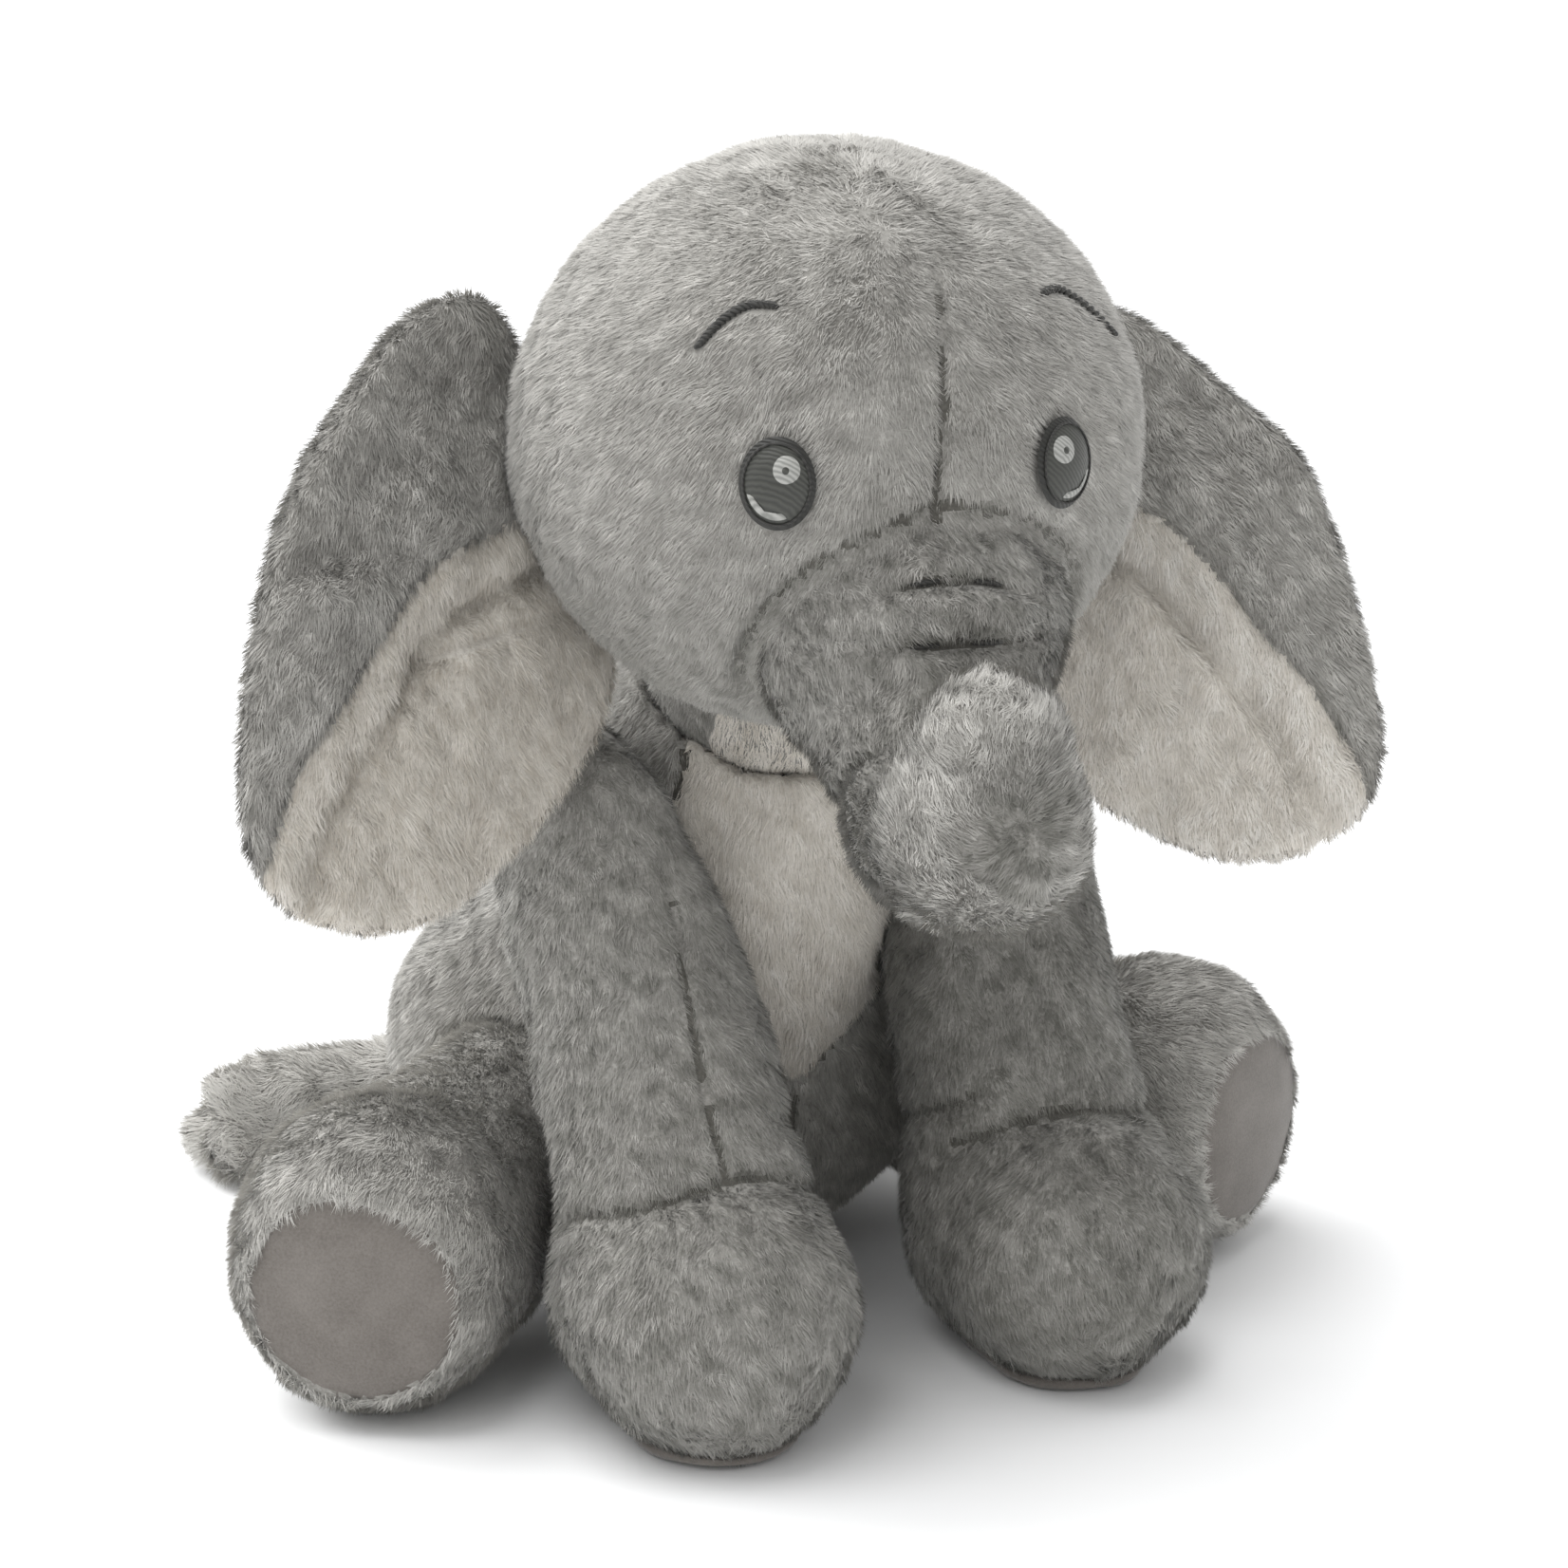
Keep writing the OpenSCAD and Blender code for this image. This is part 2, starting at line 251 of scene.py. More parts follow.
def face_middle(p):
    """Where the forehead seam runs, at each height."""
    return 3 + 0.095 * (p[:, 2] - 234) + 0.6 * np.sin(p[:, 2] / 14)


def head_lines(p):
    """Depth and closeness of each seam or fold line of the head."""
    front = step(-p[:, 1], 90, 115)
    seam = bump(p[:, 0] - face_middle(p), 1.25) * front * step(p[:, 2], 205, 220)
    rim = bump(egg(p, MUZZLE, MUZZLE_SIZE + 1.0), 2.0) * step(-p[:, 1], 120, 138)
    return [(2.0, 0.9 * seam * (1 - 0.9 * step(p[:, 2], 262, 290))), (4.0, 0.6 * rim)]


def head_field(p):
    d = sewn(plain_head(p) + PILE_ROOM, head_lines(p))
    d = d + 1.6 * bump(p[:, 0] - face_middle(p), 8) * step(-p[:, 1], 90, 115) * (1 - step(p[:, 2], 235, 262))
    for side, centre in EYES.items():
        away = np.linalg.norm((p - centre) / vec(1, 1, 1.2), axis=1)
        d = d + 2.4 * bump(away, 12)
    d = carve(d, ball(p, NECK, NECK_R + 1), 3)
    return d + 0.35 * ripple(p, 34, 3)


def tuck_bend(row, x):
    """The angle of a row of tucks at each x; the upper row droops more."""
    return ROW_ANGLES[row] - 0.012 * x**2 * (1 if row == 0 else 0.5)


def trunk_angle(p):
    """The angle of each point above the front of the muzzle, in degrees."""
    return np.degrees(np.arctan2(p[:, 2] - MUZZLE[2], -(p[:, 1] - MUZZLE[1])))


def trunk_lines(p):
    """Depth and closeness of each stitched tuck or fold line of the trunk."""
    angle = trunk_angle(p)
    front = step(-p[:, 1], 150, 162) * (1 - step(-p[:, 1], 179, 187))
    lines = []
    for row, reach in enumerate((20, 25)):
        bend = tuck_bend(row, p[:, 0])
        lines.append((3.0, 0.8 * bump(angle - bend, 2.8) * bump(p[:, 0] - 4, reach) * front))
    for x, turn, depth in ((13, 60, 3.0), (-20, 62, 1.6)):
        lines.append((depth, 0.7 * bump(p[:, 0] - x, 2.0) * bump(angle - turn, 16) * step(-p[:, 1], 120, 140)))
    fold = (p - vec(0, -167, 172)) @ vec(0, -0.67, -0.74) + 0.06 * p[:, 0]
    root = (1 - step(-p[:, 1], 178, 188)) * (1 - step(p[:, 2], 176, 186))
    lines.append((2.4, 0.8 * bump(fold, 2.0) * step(-p[:, 0], 2, 12) * root))
    return lines


def trunk_field(p):
    d = chain(p, egg(p, MUZZLE, MUZZLE_SIZE), TRUNK, 5) + PILE_ROOM
    d = sewn(d, trunk_lines(p))
    angle = trunk_angle(p)
    d = d - 2.0 * bump(angle - 15, 7) * bump(p[:, 0] - 4, 24) * step(-p[:, 1], 150, 162)
    d = d + 2.2 * bump(ball(p, SWIRL, 0), 5.0)
    return d + 0.3 * ripple(p, 16, 5)


SEAM_LINE = rounded(EAR_SEAM, 2, closed=False)
OUTLINE = {
    side: rounded([(a, b - EAR_TOP_DROP[side] * max(0, min(1, (b + 10) / 30))) for a, b in EAR_OUTLINE], 2)
    for side in SIDES
}


def ear_faces(p, side):
    """Heights of an ear's front and back at each point, and the distance past the grey seam."""
    flat = p[:, :2]
    away, hand = line_distance(flat, SEAM_LINE, closed=False)
    past = away * hand
    fade = 1 - 0.75 * step(flat[:, 0], 55, 84)
    front = 3.6 + 7.0 * fade * step(past, -7, 5) * (1 - 0.35 * step(past, 10, 34))
    front = front + 2.4 * fade * bump(past + 5, 4) - 2.6 * fade * bump(past + 12.5, 2.8)
    front = front - 1.5 * bump(past - 0.8, 1.3)
    front = front + 1.6 * bump(past + 30, 12)
    if side == "right":
        dent = bump((flat[:, 0] - 47) * 0.9 + (flat[:, 1] + 25) * 0.3, 14) * bump(flat[:, 1] + 25, 5)
        front = front - 4.0 * dent + 1.6 * bump(flat[:, 1] + 34, 6) * bump(flat[:, 0] - 50, 14)
        crease = bump(flat[:, 1] + 49 + 0.12 * flat[:, 0], 2.4) * bump(flat[:, 0] - 14, 20)
        front = front - 2.0 * crease * (past < -3)
    else:
        front = front - 1.6 * bump(flat[:, 0] - 30 + 0.4 * flat[:, 1], 6) * bump(past - 16, 14)
    back = -3.8 + 0.5 * ripple(p * vec(1, 1, 0), 30, 11)
    front = front + 0.5 * ripple(p * vec(1, 1, 0), 22, 12)
    return front, back, past


def ear_field(p, side):
    away, _ = line_distance(p[:, :2], OUTLINE[side], closed=True)
    edge = np.where(inside_outline(p[:, :2], OUTLINE[side]), -away, away)
    front, back, _ = ear_faces(p, side)
    half = np.maximum((front - back) / 2, 1.5)
    off = np.abs(p[:, 2] - (front + back) / 2) - half
    r = 3.4
    q = np.stack([edge + r, off + r], 1)
    d = np.minimum(q.max(1), 0) + np.linalg.norm(np.maximum(q, 0), axis=1) - r + 0.6 * PILE_ROOM
    rest = moved(p, ear_place(side))
    head = moved(rest, np.linalg.inv(ON_HEAD))
    d = carve(d, head_field(head) - 0.4, 2)
    near = rest[:, 2] < 190
    if near.any():
        body = np.minimum(front_leg_field(rest[near], side), torso_field(rest[near]))
        d[near] = carve(d[near], body - 0.4, 2)
    return d


# Lines of no depth: they only thin the pile and darken it, as painted shade along the ear's groove and crease.
def ear_lines(p, side):
    _, _, past = ear_faces(p, side)
    lines = [(0, 0.5 * bump(past + 12.5, 2.0) * (p[:, 2] > 0))]
    if side == "right":
        crease = bump(p[:, 1] + 49 + 0.12 * p[:, 0], 2.0) * bump(p[:, 0] - 14, 20)
        lines.append((0, crease * (past < -3) * (p[:, 2] > 0)))
    return lines


def ear_is_cream(p, side):
    front, back, past = ear_faces(p, side)
    return (past < 0.8) & (p[:, 2] > (front + back) / 2 - 1.0)


LEG_X = 48
FOOT_LEAD = {"left": 0, "right": 10}
SHOULDER = vec(LEG_X, -62, 132)
ANKLE = vec(LEG_X, -108, 42)


def front_leg_lines(p, side):
    """Depth and closeness of a front leg's seam and ankle folds."""
    q = p * vec(SIDES[side], 1, 1)
    ankle = ANKLE - vec(0, FOOT_LEAD[side], 0)
    down = (ankle - SHOULDER) / np.linalg.norm(ankle - SHOULDER)
    along = (q - SHOULDER) @ down
    front = step(-(q[:, 1] - SHOULDER[1]) - 0.51 * (SHOULDER[2] - q[:, 2]), 4, 16)
    seam = bump(q[:, 0] - LEG_X + 1 - 1.2 * np.sin(q[:, 2] / 11), 1.1) * front
    seam = seam * (0.85 if side == "right" else 0.25)
    ankle_at = 97 if side == "right" else 90
    fold = along - ankle_at + 0.004 * (q[:, 0] - LEG_X + 6) ** 2 - 2.5 * np.sin(q[:, 0] / 9)
    inner = step(LEG_X - q[:, 0], 12, 24)
    return [
        (1.8, seam * step(along, 8, 26) * (1 - step(along, ankle_at - 4, ankle_at + 2))),
        (3.2, 0.6 * bump(fold, 2.6) * front),
        (2.6, 0.6 * bump(along - 80, 3.0) * inner),
    ]


def front_leg_field(p, side):
    q = p * vec(SIDES[side], 1, 1)
    lead = vec(0, -FOOT_LEAD[side], 0)
    ankle = ANKLE + lead
    knee = SHOULDER * 0.45 + ankle * 0.55
    d = melt(bar(q, SHOULDER, 29.5, knee, 30.5), bar(q, knee, 30.5, ankle, 32.5), 3)
    foot = bar(q, vec(LEG_X, -112, 33) + 0.6 * lead, 36.5, vec(LEG_X, -127, 32) + 0.4 * lead, 35.5)
    d = melt(d, foot, 5)
    d = d + PILE_ROOM
    slant = np.where(q[:, 2] > 66, 9 + 0.40 * (q[:, 2] - 66), 9) - q[:, 0]
    d = carve(d, -slant, 6)
    d = sewn(d, front_leg_lines(p, side))
    d = d + 0.6 * ripple(q * vec(1, 1, 0.7), 30, 21 + SIDES[side])
    return np.maximum(d, 2.2 - p[:, 2])


HIP = vec(60, -24, 42)
HIND_FOOT = {"left": vec(109, -64, 36), "right": vec(-115, -79, 36)}
SOLE_ANGLE = 33.0
SOLE_OUT = 23.0
SOLE_R = 26.0


def hip_of(side):
    return HIP * vec(SIDES[side], 1, 1)


def from_sole(p, side):
    """How far each point is out along a sole's axis, and across from it."""
    out = (p - HIND_FOOT[side]) @ sole_axis(side)
    return out, np.linalg.norm(p - HIND_FOOT[side] - out[:, None] * sole_axis(side), axis=1)


def sole_axis(side):
    a = math.radians(SOLE_ANGLE)
    return vec(SIDES[side] * math.sin(a), -math.cos(a), 0)


def hind_leg_lines(p, side):
    """Depth and closeness of the folds across a hind leg."""
    hip, foot = hip_of(side), HIND_FOOT[side]
    along = (p - hip) @ (foot - hip) / np.linalg.norm(foot - hip)
    return [(1.8, 0.5 * bump(along - 34, 3) * step(p[:, 2], 34, 54)),
            (1.4, 0.4 * bump(along - 20 - 0.1 * p[:, 2], 2.4) * step(p[:, 2], 44, 60))]


def hind_leg_field(p, side):
    hip, foot = hip_of(side), HIND_FOOT[side]
    d = melt(bar(p, hip, 31, foot, 37), ball(p, foot + vec(0, 3, 8), 34), 4) + PILE_ROOM
    d = sewn(d, hind_leg_lines(p, side))
    out, across = from_sole(p, side)
    plane = SOLE_OUT + 1.8 - 2.6 * (1 - step(across, SOLE_R - 4, SOLE_R + 1))
    d = -melt(-d, plane - out, 2)
    d = d + 0.5 * ripple(p, 26, 31)
    return np.maximum(d, 0.8 - p[:, 2])


TAIL = [(vec(-12, 66, 34), 11.5), (vec(-50, 76, 21), 12.5), (vec(-92, 80, 19), 13.0), (vec(-102, 79, 17), 14.0)]
TAIL_LOBES = [(vec(-111, 70, 12), 9.0), (vec(-113, 82, 11), 8.5), (vec(-104, 89, 14), 8.0), (vec(-108, 76, 23), 8.5)]


def tail_field(p):
    d = chain(p, np.full(len(p), 1e3), TAIL, 4)
    for c, r in TAIL_LOBES:
        d = melt(d, ball(p, c, r), 2)
    return np.maximum(d + 0.5 * PILE_ROOM + 0.7 * ripple(p, 15, 41), 0.6 - p[:, 2])


def torso_lines(p):
    """Depth and closeness of the torso's seams."""
    edge, _ = line_distance(p[:, [0, 2]], BIB_LINE, closed=True)
    low = step(-p[:, 1], 30, 45) * (1 - step(p[:, 2], 52, 62))
    return [(1.6, 0.7 * bump(edge, 1.2) * (p[:, 1] < -40)), (1.6, bump(p[:, 0], 1.3) * step(p[:, 1], 10, 25)),
            (1.4, bump(p[:, 0], 1.3) * low)]


def torso_field(p):
    d = bar(p, BELLY, 70, CHEST, 44)
    d = melt(d, egg(p, vec(0, -44, 120), vec(45, 38, 58)), 10)
    for x in SIDES.values():
        d = melt(d, ball(p, vec(38 * x, 10, 54), 45), 10)
    d = d + PILE_ROOM
    d = -melt(-d, -(1.5 - p[:, 2]), 8)
    for side in SIDES:
        d = carve(d, front_leg_field(p, side) - 0.8, 3)
        d = carve(d, hind_leg_field(p, side) - 0.8, 3)
    d = carve(d, ball(p, NECK, NECK_R + 1), 3)
    d = carve(d, ball(p, TAIL[0][0], 12.0), 2)
    return sewn(d, torso_lines(p)) + 0.8 * ripple(p, 40, 51)


BIB = [
    (-20, 196), (20, 196), (26, 160), (36, 138), (40, 104), (27, 84), (13, 70), (0, 60), (-13, 70), (-24, 84),
    (-30, 104), (-36, 128), (-27, 160),
]
BIB_LINE = rounded(BIB, 1)


def in_bib(p):
    return (p[:, 1] < -40) & inside_outline(p[:, [0, 2]], BIB_LINE)


def neck_field(p):
    return ball(p, NECK, NECK_R)


# ---------- Skin: a field becomes a net of quads ----------


def steepest(field, p, reach=0.15):
    grad = np.empty_like(p)
    for i in range(3):
        off = np.zeros(3)
        off[i] = reach
        grad[:, i] = (field(p + off) - field(p - off)) / (2 * reach)
    return grad


def net(field, low, high, cell):
    """Points, quads and outward directions of the surface where the field is zero."""
    low, high = np.array(low, float), np.array(high, float)
    n = np.ceil((high - low) / cell).astype(int) + 1
    grid = np.stack(np.meshgrid(*[low[i] + cell * np.arange(n[i]) for i in range(3)], indexing="ij"), -1)
    d = field(grid.reshape(-1, 3)).reshape(n)
    corners = [(i, j, k) for i in (0, 1) for j in (0, 1) for k in (0, 1)]

    def at(a, c):
        return a[c[0]:n[0] - 1 + c[0], c[1]:n[1] - 1 + c[1], c[2]:n[2] - 1 + c[2]]

    count = sum(at(d < 0, c).astype(int) for c in corners)
    active = (count > 0) & (count < 8)
    total, hits = np.zeros((active.sum(), 3)), np.zeros(active.sum())
    for c0 in corners:
        for axis in range(3):
            if c0[axis]:
                continue
            c1 = tuple(1 if i == axis else c0[i] for i in range(3))
            a, b = at(d, c0)[active], at(d, c1)[active]
            cross = (a < 0) != (b < 0)
            t = np.where(cross, a / np.where(cross, a - b, 1), 0)
            spot = np.array(c0, float)[None] + t[:, None] * (np.array(c1) - np.array(c0))[None]
            total[cross] += spot[cross]
            hits += cross
    index = np.full(active.shape, -1)
    index[active] = np.arange(len(total))
    verts = low + cell * (np.argwhere(active) + total / hits[:, None])
    quads = []
    for axis in range(3):
        u, v = (axis + 1) % 3, (axis + 2) % 3
        lo = [slice(1, -1)] * 3
        lo[axis] = slice(0, -1)
        hi = list(lo)
        hi[axis] = slice(1, None)
        a, b = d[tuple(lo)] < 0, d[tuple(hi)] < 0
        where = np.argwhere(a != b) + np.array([0 if i == axis else 1 for i in range(3)])
        rising = a[a != b]
        ring = []
        for du, dv in ((-1, -1), (0, -1), (0, 0), (-1, 0)):
            q = where.copy()
            q[:, u] += du
            q[:, v] += dv
            ring.append(index[q[:, 0], q[:, 1], q[:, 2]])
        ring = np.stack(ring, 1)
        ring[~rising] = ring[~rising][:, ::-1]
        quads.append(ring)
    quads = np.vstack(quads)
    for _ in range(3):
        g = steepest(field, verts)
        size = np.maximum((g**2).sum(1), 0.25)
        verts = verts - np.clip(field(verts) / size, -cell, cell)[:, None] * g
    g = steepest(field, verts, 0.4)
    return verts, quads, g / np.maximum(np.linalg.norm(g, axis=1), 1e-9)[:, None]


# ---------- Materials ----------


def linear(srgb):
    c = np.array(srgb, float) / 255
    return tuple(np.where(c < 0.04045, c / 12.92, ((c + 0.055) / 1.055) ** 2.4)) + (1.0,)


def principled(name, roughness, sheen=0.0, specular=0.3):
    m = bpy.data.materials.new(name)
    m.use_nodes = True
    shader = m.node_tree.nodes["Principled BSDF"]
    shader.inputs["Roughness"].default_value = roughness
    shader.inputs["Sheen Weight"].default_value = sheen
    shader.inputs["Sheen Roughness"].default_value = 0.5
    shader.inputs["Specular IOR Level"].default_value = specular
    return m, shader


def add_node(m, kind, **values):
    """A shader node with these values on its inputs."""
    n = m.node_tree.nodes.new(kind)
    for socket, value in values.items():
        n.inputs[socket].default_value = value
    return n


def colour_and_relief(m, shader, height, colour_at, stops, strength, depth):
    """Colours from one output between two stops, and a relief from another."""
    links = m.node_tree.links
    ramp = add_node(m, "ShaderNodeValToRGB")
    for element, (position, colour) in zip(ramp.color_ramp.elements, stops):
        element.position = position
        element.color = linear(colour)
    links.new(colour_at, ramp.inputs["Fac"])
    links.new(ramp.outputs["Color"], shader.inputs["Base Color"])
    relief = add_node(m, "ShaderNodeBump", Strength=strength, Distance=depth)
    links.new(height, relief.inputs["Height"])
    links.new(relief.outputs["Normal"], shader.inputs["Normal"])


def pile_material(name, srgb, sheen=0.25):
    """One shade of the fibres."""
    m, shader = principled(name, 0.8, sheen, 0.25)
    shader.inputs["Base Color"].default_value = linear(srgb)
    return m


def cloth_material(name, dark, light, grain, bump_depth, roughness=0.9, sheen=0.3, patch=0.02):
    """A woven or napped cloth: patchy colour, a fine grain and its relief."""
    m, shader = principled(name, roughness, sheen, 0.2)
    links = m.node_tree.links
    where = add_node(m, "ShaderNodeTexCoord")
    fine = add_node(m, "ShaderNodeTexNoise", Scale=grain, Detail=6, Roughness=0.65)
    wide = add_node(m, "ShaderNodeTexNoise", Scale=1 / patch, Detail=3)
    for n in (fine, wide):
        links.new(where.outputs["Object"], n.inputs["Vector"])
    half = add_node(m, "ShaderNodeMath")
    half.operation = "MULTIPLY"
    half.inputs[1].default_value = 0.4
    links.new(wide.outputs["Fac"], half.inputs[0])
    both = add_node(m, "ShaderNodeMath")
    both.operation = "MULTIPLY_ADD"
    both.inputs[1].default_value = 0.6
    links.new(fine.outputs["Fac"], both.inputs[0])
    links.new(half.outputs[0], both.inputs[2])
    stops = [(0.36, dark), (0.66, light)]
    colour_and_relief(m, shader, fine.outputs["Fac"], both.outputs[0], stops, 0.6, bump_depth)
    return m


def thread_material(name, dark, light, roughness=0.45):
    """Satin stitches: fine parallel threads with a soft shine."""
    m, shader = principled(name, roughness, 0.1, 0.45)
    where = add_node(m, "ShaderNodeTexCoord")
    wave = add_node(m, "ShaderNodeTexWave", Scale=420, Distortion=2.5, Detail=2)
    wave.bands_direction = "DIAGONAL"
    m.node_tree.links.new(where.outputs["Object"], wave.inputs["Vector"])
    satin = wave.outputs["Fac"]
    colour_and_relief(m, shader, satin, satin, [(0.0, dark), (1.0, light)], 0.5, 0.0002)
    return m


GREY_SHADES = [(116, 115, 109), (138, 137, 131), (155, 153, 148), (171, 169, 164), (188, 186, 181), (206, 204, 199)]
CREAM_SHADES = [(200, 193, 182), (210, 204, 194), (218, 213, 204), (226, 221, 213), (232, 228, 221), (239, 236, 230)]
GREY_PILE = [pile_material(f"grey_pile_{i}", c) for i, c in enumerate(GREY_SHADES)]
CREAM_PILE = [pile_material(f"cream_pile_{i}", c) for i, c in enumerate(CREAM_SHADES)]
GREY_CLOTH = cloth_material("grey_plush_backing", (112, 110, 105), (172, 170, 165), 900, 0.0006)
CREAM_CLOTH = cloth_material("cream_plush_backing", (180, 174, 165), (226, 222, 214), 900, 0.0006)
# A darker copy of the backing for seams and folds: painted shade in the creases.
SHADED_CLOTH = cloth_material("plush_backing_painted_fold_shade", (74, 72, 67), (108, 106, 100), 900, 0.0006)
SUEDE = cloth_material("sole_suede", (102, 97, 92), (126, 121, 116), 1500, 0.00012, 0.85, 0.35, 0.012)
FIBRE = cloth_material("polyester_fibre", (205, 204, 198), (245, 244, 240), 260, 0.002, 0.95, 0.2, 0.01)
POUCH = cloth_material("pouch_cloth", (186, 182, 170), (222, 219, 209), 1900, 0.0003, 0.9, 0.1, 0.02)
EYE_DARK = thread_material("eye_iris_satin", (48, 49, 45), (66, 67, 62))
EYE_RIM = thread_material("eye_rim_satin", (26, 26, 23), (40, 40, 36))
EYE_LIGHT = thread_material("eye_glint_satin", (128, 129, 125), (168, 168, 164))
DARK_THREAD = thread_material("dark_thread", (30, 30, 28), (54, 53, 50), 0.6)


# ---------- Pieces ----------

# The most fibres in one mesh, and the closeness to a seam or fold from which the cloth is bare of fibres or darker,
# as painted shade.
PILE_LIMIT = 150000
BARE_FROM = 0.62
SHADED_FROM = 0.5
# Cloth and fibres end this far above the floor.
CLOTH_LIFT, FIBRE_LIFT = 0.1, 0.25
# A root this far inside another form is buried.
BURIED = 1.2


def place_in_scene(name, data):
    o = bpy.data.objects.new(name, data)
    bpy.context.scene.collection.objects.link(o)
    return o


def mesh_object(name, points, faces, materials, which=None, smooth=True):
    """A mesh from points in millimetres in the rest pose."""
    me = bpy.data.meshes.new(name)
    me.from_pydata((points * MM).tolist(), [], faces.tolist() if hasattr(faces, "tolist") else faces)
    for m in materials:
        me.materials.append(m)
    if which is not None:
        me.polygons.foreach_set("material_index", np.asarray(which, np.int32))
    me.polygons.foreach_set("use_smooth", np.full(len(me.polygons), smooth))
    me.update()
    return place_in_scene(name, me)


def attach(o, body, bend=None):
    """Rides a body, or, given a bend, has its place baked into its mesh and rides none."""
    if bend:
        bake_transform(o)
    else:
        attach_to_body(o, body)


def scatter(verts, quads, normals, per_mm2, rng):
    """Random points on the skin with the outward direction at each."""
    tris = np.vstack([quads[:, [0, 1, 2]], quads[:, [0, 2, 3]]])
    a, b, c = verts[tris[:, 0]], verts[tris[:, 1]], verts[tris[:, 2]]
    area = np.linalg.norm(np.cross(b - a, c - a), axis=1) / 2
    n = int(area.sum() * per_mm2)
    pick = np.searchsorted(np.cumsum(area), rng.random(n) * area.sum()).clip(0, len(tris) - 1)
    r1, r2 = np.sqrt(rng.random(n)), rng.random(n)
    w = np.stack([1 - r1, r1 * (1 - r2), r1 * r2], 1)
    p = (verts[tris[pick]] * w[:, :, None]).sum(1)
    up = (normals[tris[pick]] * w[:, :, None]).sum(1)
    return p, up / np.linalg.norm(up, axis=1)[:, None]


def unit(v):
    return v / np.maximum(np.linalg.norm(v, axis=1), 1e-9)[:, None]


def flow(p, x, y, z):
    """A direction at every point, from numbers or arrays."""
    return np.stack([v + np.zeros(len(p)) for v in (x, y, z)], 1)


def down_spine(p, links):
    """The way from ball to ball at each point."""
    spine = np.array([centre for centre, _ in links])
    best = np.argmin(np.linalg.norm(p[:, None] - spine[None, :-1], axis=2), axis=1)
    return unit(spine[1:] - spine[:-1])[best]


def pile(name, skin, place, comb, cream, keep, seed, length=3.3, density=3.7, lift=30.0, width=0.30, tone=0.0,
         shade=None, lines=None, tousle=1.0):
    """The pile of a cover: thin fibres that lean the way the cloth is brushed, as meshes of one triangle each."""
    rng = np.random.default_rng(seed)
    p, up = scatter(*skin, density, rng)
    near = closest(lines(p) if lines else [], len(p))
    ok = keep(p) & (near < BARE_FROM)
    p, up, near = p[ok], up[ok], near[ok]
    n = len(p)
    wild = 0.26 * np.stack([ripple(p, 16, seed + i) for i in (1, 2, 3)], 1)
    wild = wild + 0.2 * np.stack([ripple(p, 4.5, seed + i) for i in (4, 5, 6)], 1) + 0.13 * rng.normal(size=(n, 3))
    lay = unit(comb(p)) + tousle * wild
    lay = unit(lay - (lay * up).sum(1)[:, None] * up)
    rise = np.radians(lift + 8 * ripple(p, 7, seed + 7) + 7 * rng.normal(size=n)).clip(0.15, 1.4)[:, None]
    aim = np.cos(rise) * lay + np.sin(rise) * up
    long = length * (0.8 + 0.10 * ripple(p, 9, seed + 8) + 0.35 * rng.random(n)).clip(0.3, 1.6) * (1 - 0.5 * near)
    twist = rng.normal(scale=0.3, size=n)[:, None]
    across = unit(np.cross(aim, up))
    across = np.cos(twist) * across + np.sin(twist) * np.cross(aim, across)
    half = (width / 2) * (0.7 + 0.6 * rng.random(n))[:, None]
    root = p - 0.3 * up
    tip = root + long[:, None] * aim
    face = unit(np.cross(across, aim))
    flip = (face * up).sum(1) < 0
    face[flip] *= -1
    across[flip] *= -1
    patches = 0.75 * ripple(p, 7, seed + 9) + 0.5 * ripple(p, 2.4, seed + 10)
    # A piece's whole pile is lifted or lowered by a level given per piece: painted light and shade for how light
    # falls on that piece.
    level = 2.5 + tone + tousle * patches + 0.45 * rng.normal(size=n)
    # Fibres near a seam or fold are darker: painted shade in the crease.
    level = level - 2.2 * near
    # Each piece can add a level at each point. This is mostly painted light and shade, as given with that piece.
    if shade is not None:
        level = level + shade(p)
    level = np.clip(np.round(level), 0, 5).astype(int) + 6 * cream(p).astype(int)
    pts = moved(np.stack([root - half * across, root + half * across, tip], 1).reshape(-1, 3), place)
    pts[:, 2] = np.maximum(pts[:, 2], FIBRE_LIFT)
    lean = unit(up + 0.3 * face + 0.25 * rng.normal(size=(n, 1)) * across)
    lean = np.repeat(lean, 3, axis=0) @ place[:3, :3].T
    made = []
    parts = int(np.ceil(n / PILE_LIMIT))
    for k in range(parts):
        part = slice(k * n // parts, (k + 1) * n // parts)
        m = part.stop - part.start
        own = pts[3 * part.start:3 * part.stop].reshape(m, 3, 3)
        if mirrors(place):
            own = own[:, [1, 0, 2]]
        me = bpy.data.meshes.new(f"{name}_{k + 1}")
        me.vertices.add(3 * m)
        me.vertices.foreach_set("co", (own * MM).astype(np.float32).ravel())
        me.loops.add(3 * m)
        me.loops.foreach_set("vertex_index", np.arange(3 * m, dtype=np.int32))
        me.polygons.add(m)
        me.polygons.foreach_set("loop_start", np.arange(0, 3 * m, 3, dtype=np.int32))
        me.polygons.foreach_set("material_index", level[part].astype(np.int32))
        me.polygons.foreach_set("use_smooth", np.ones(m, bool))
        for shade_of_grey in GREY_PILE + CREAM_PILE:
            me.materials.append(shade_of_grey)
        me.update()
        me.normals_split_custom_set_from_vertices(lean[3 * part.start:3 * part.stop].tolist())
        o = place_in_scene(me.name, me)
        made.append(o)
    return made


def stuffing(name, field, low, high, place, body, bend, nodes, deep=2.4):
    """The filling inside a cover, a little inside its cloth."""
    verts, quads, _ = net(lambda p: field(p) + deep, low, high, 4.5)
    if mirrors(place):
        quads = quads[:, ::-1]
    o = mesh_object(name, moved(verts, place), quads, [FIBRE])
    attach(o, body, bend)
    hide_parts(*nodes)


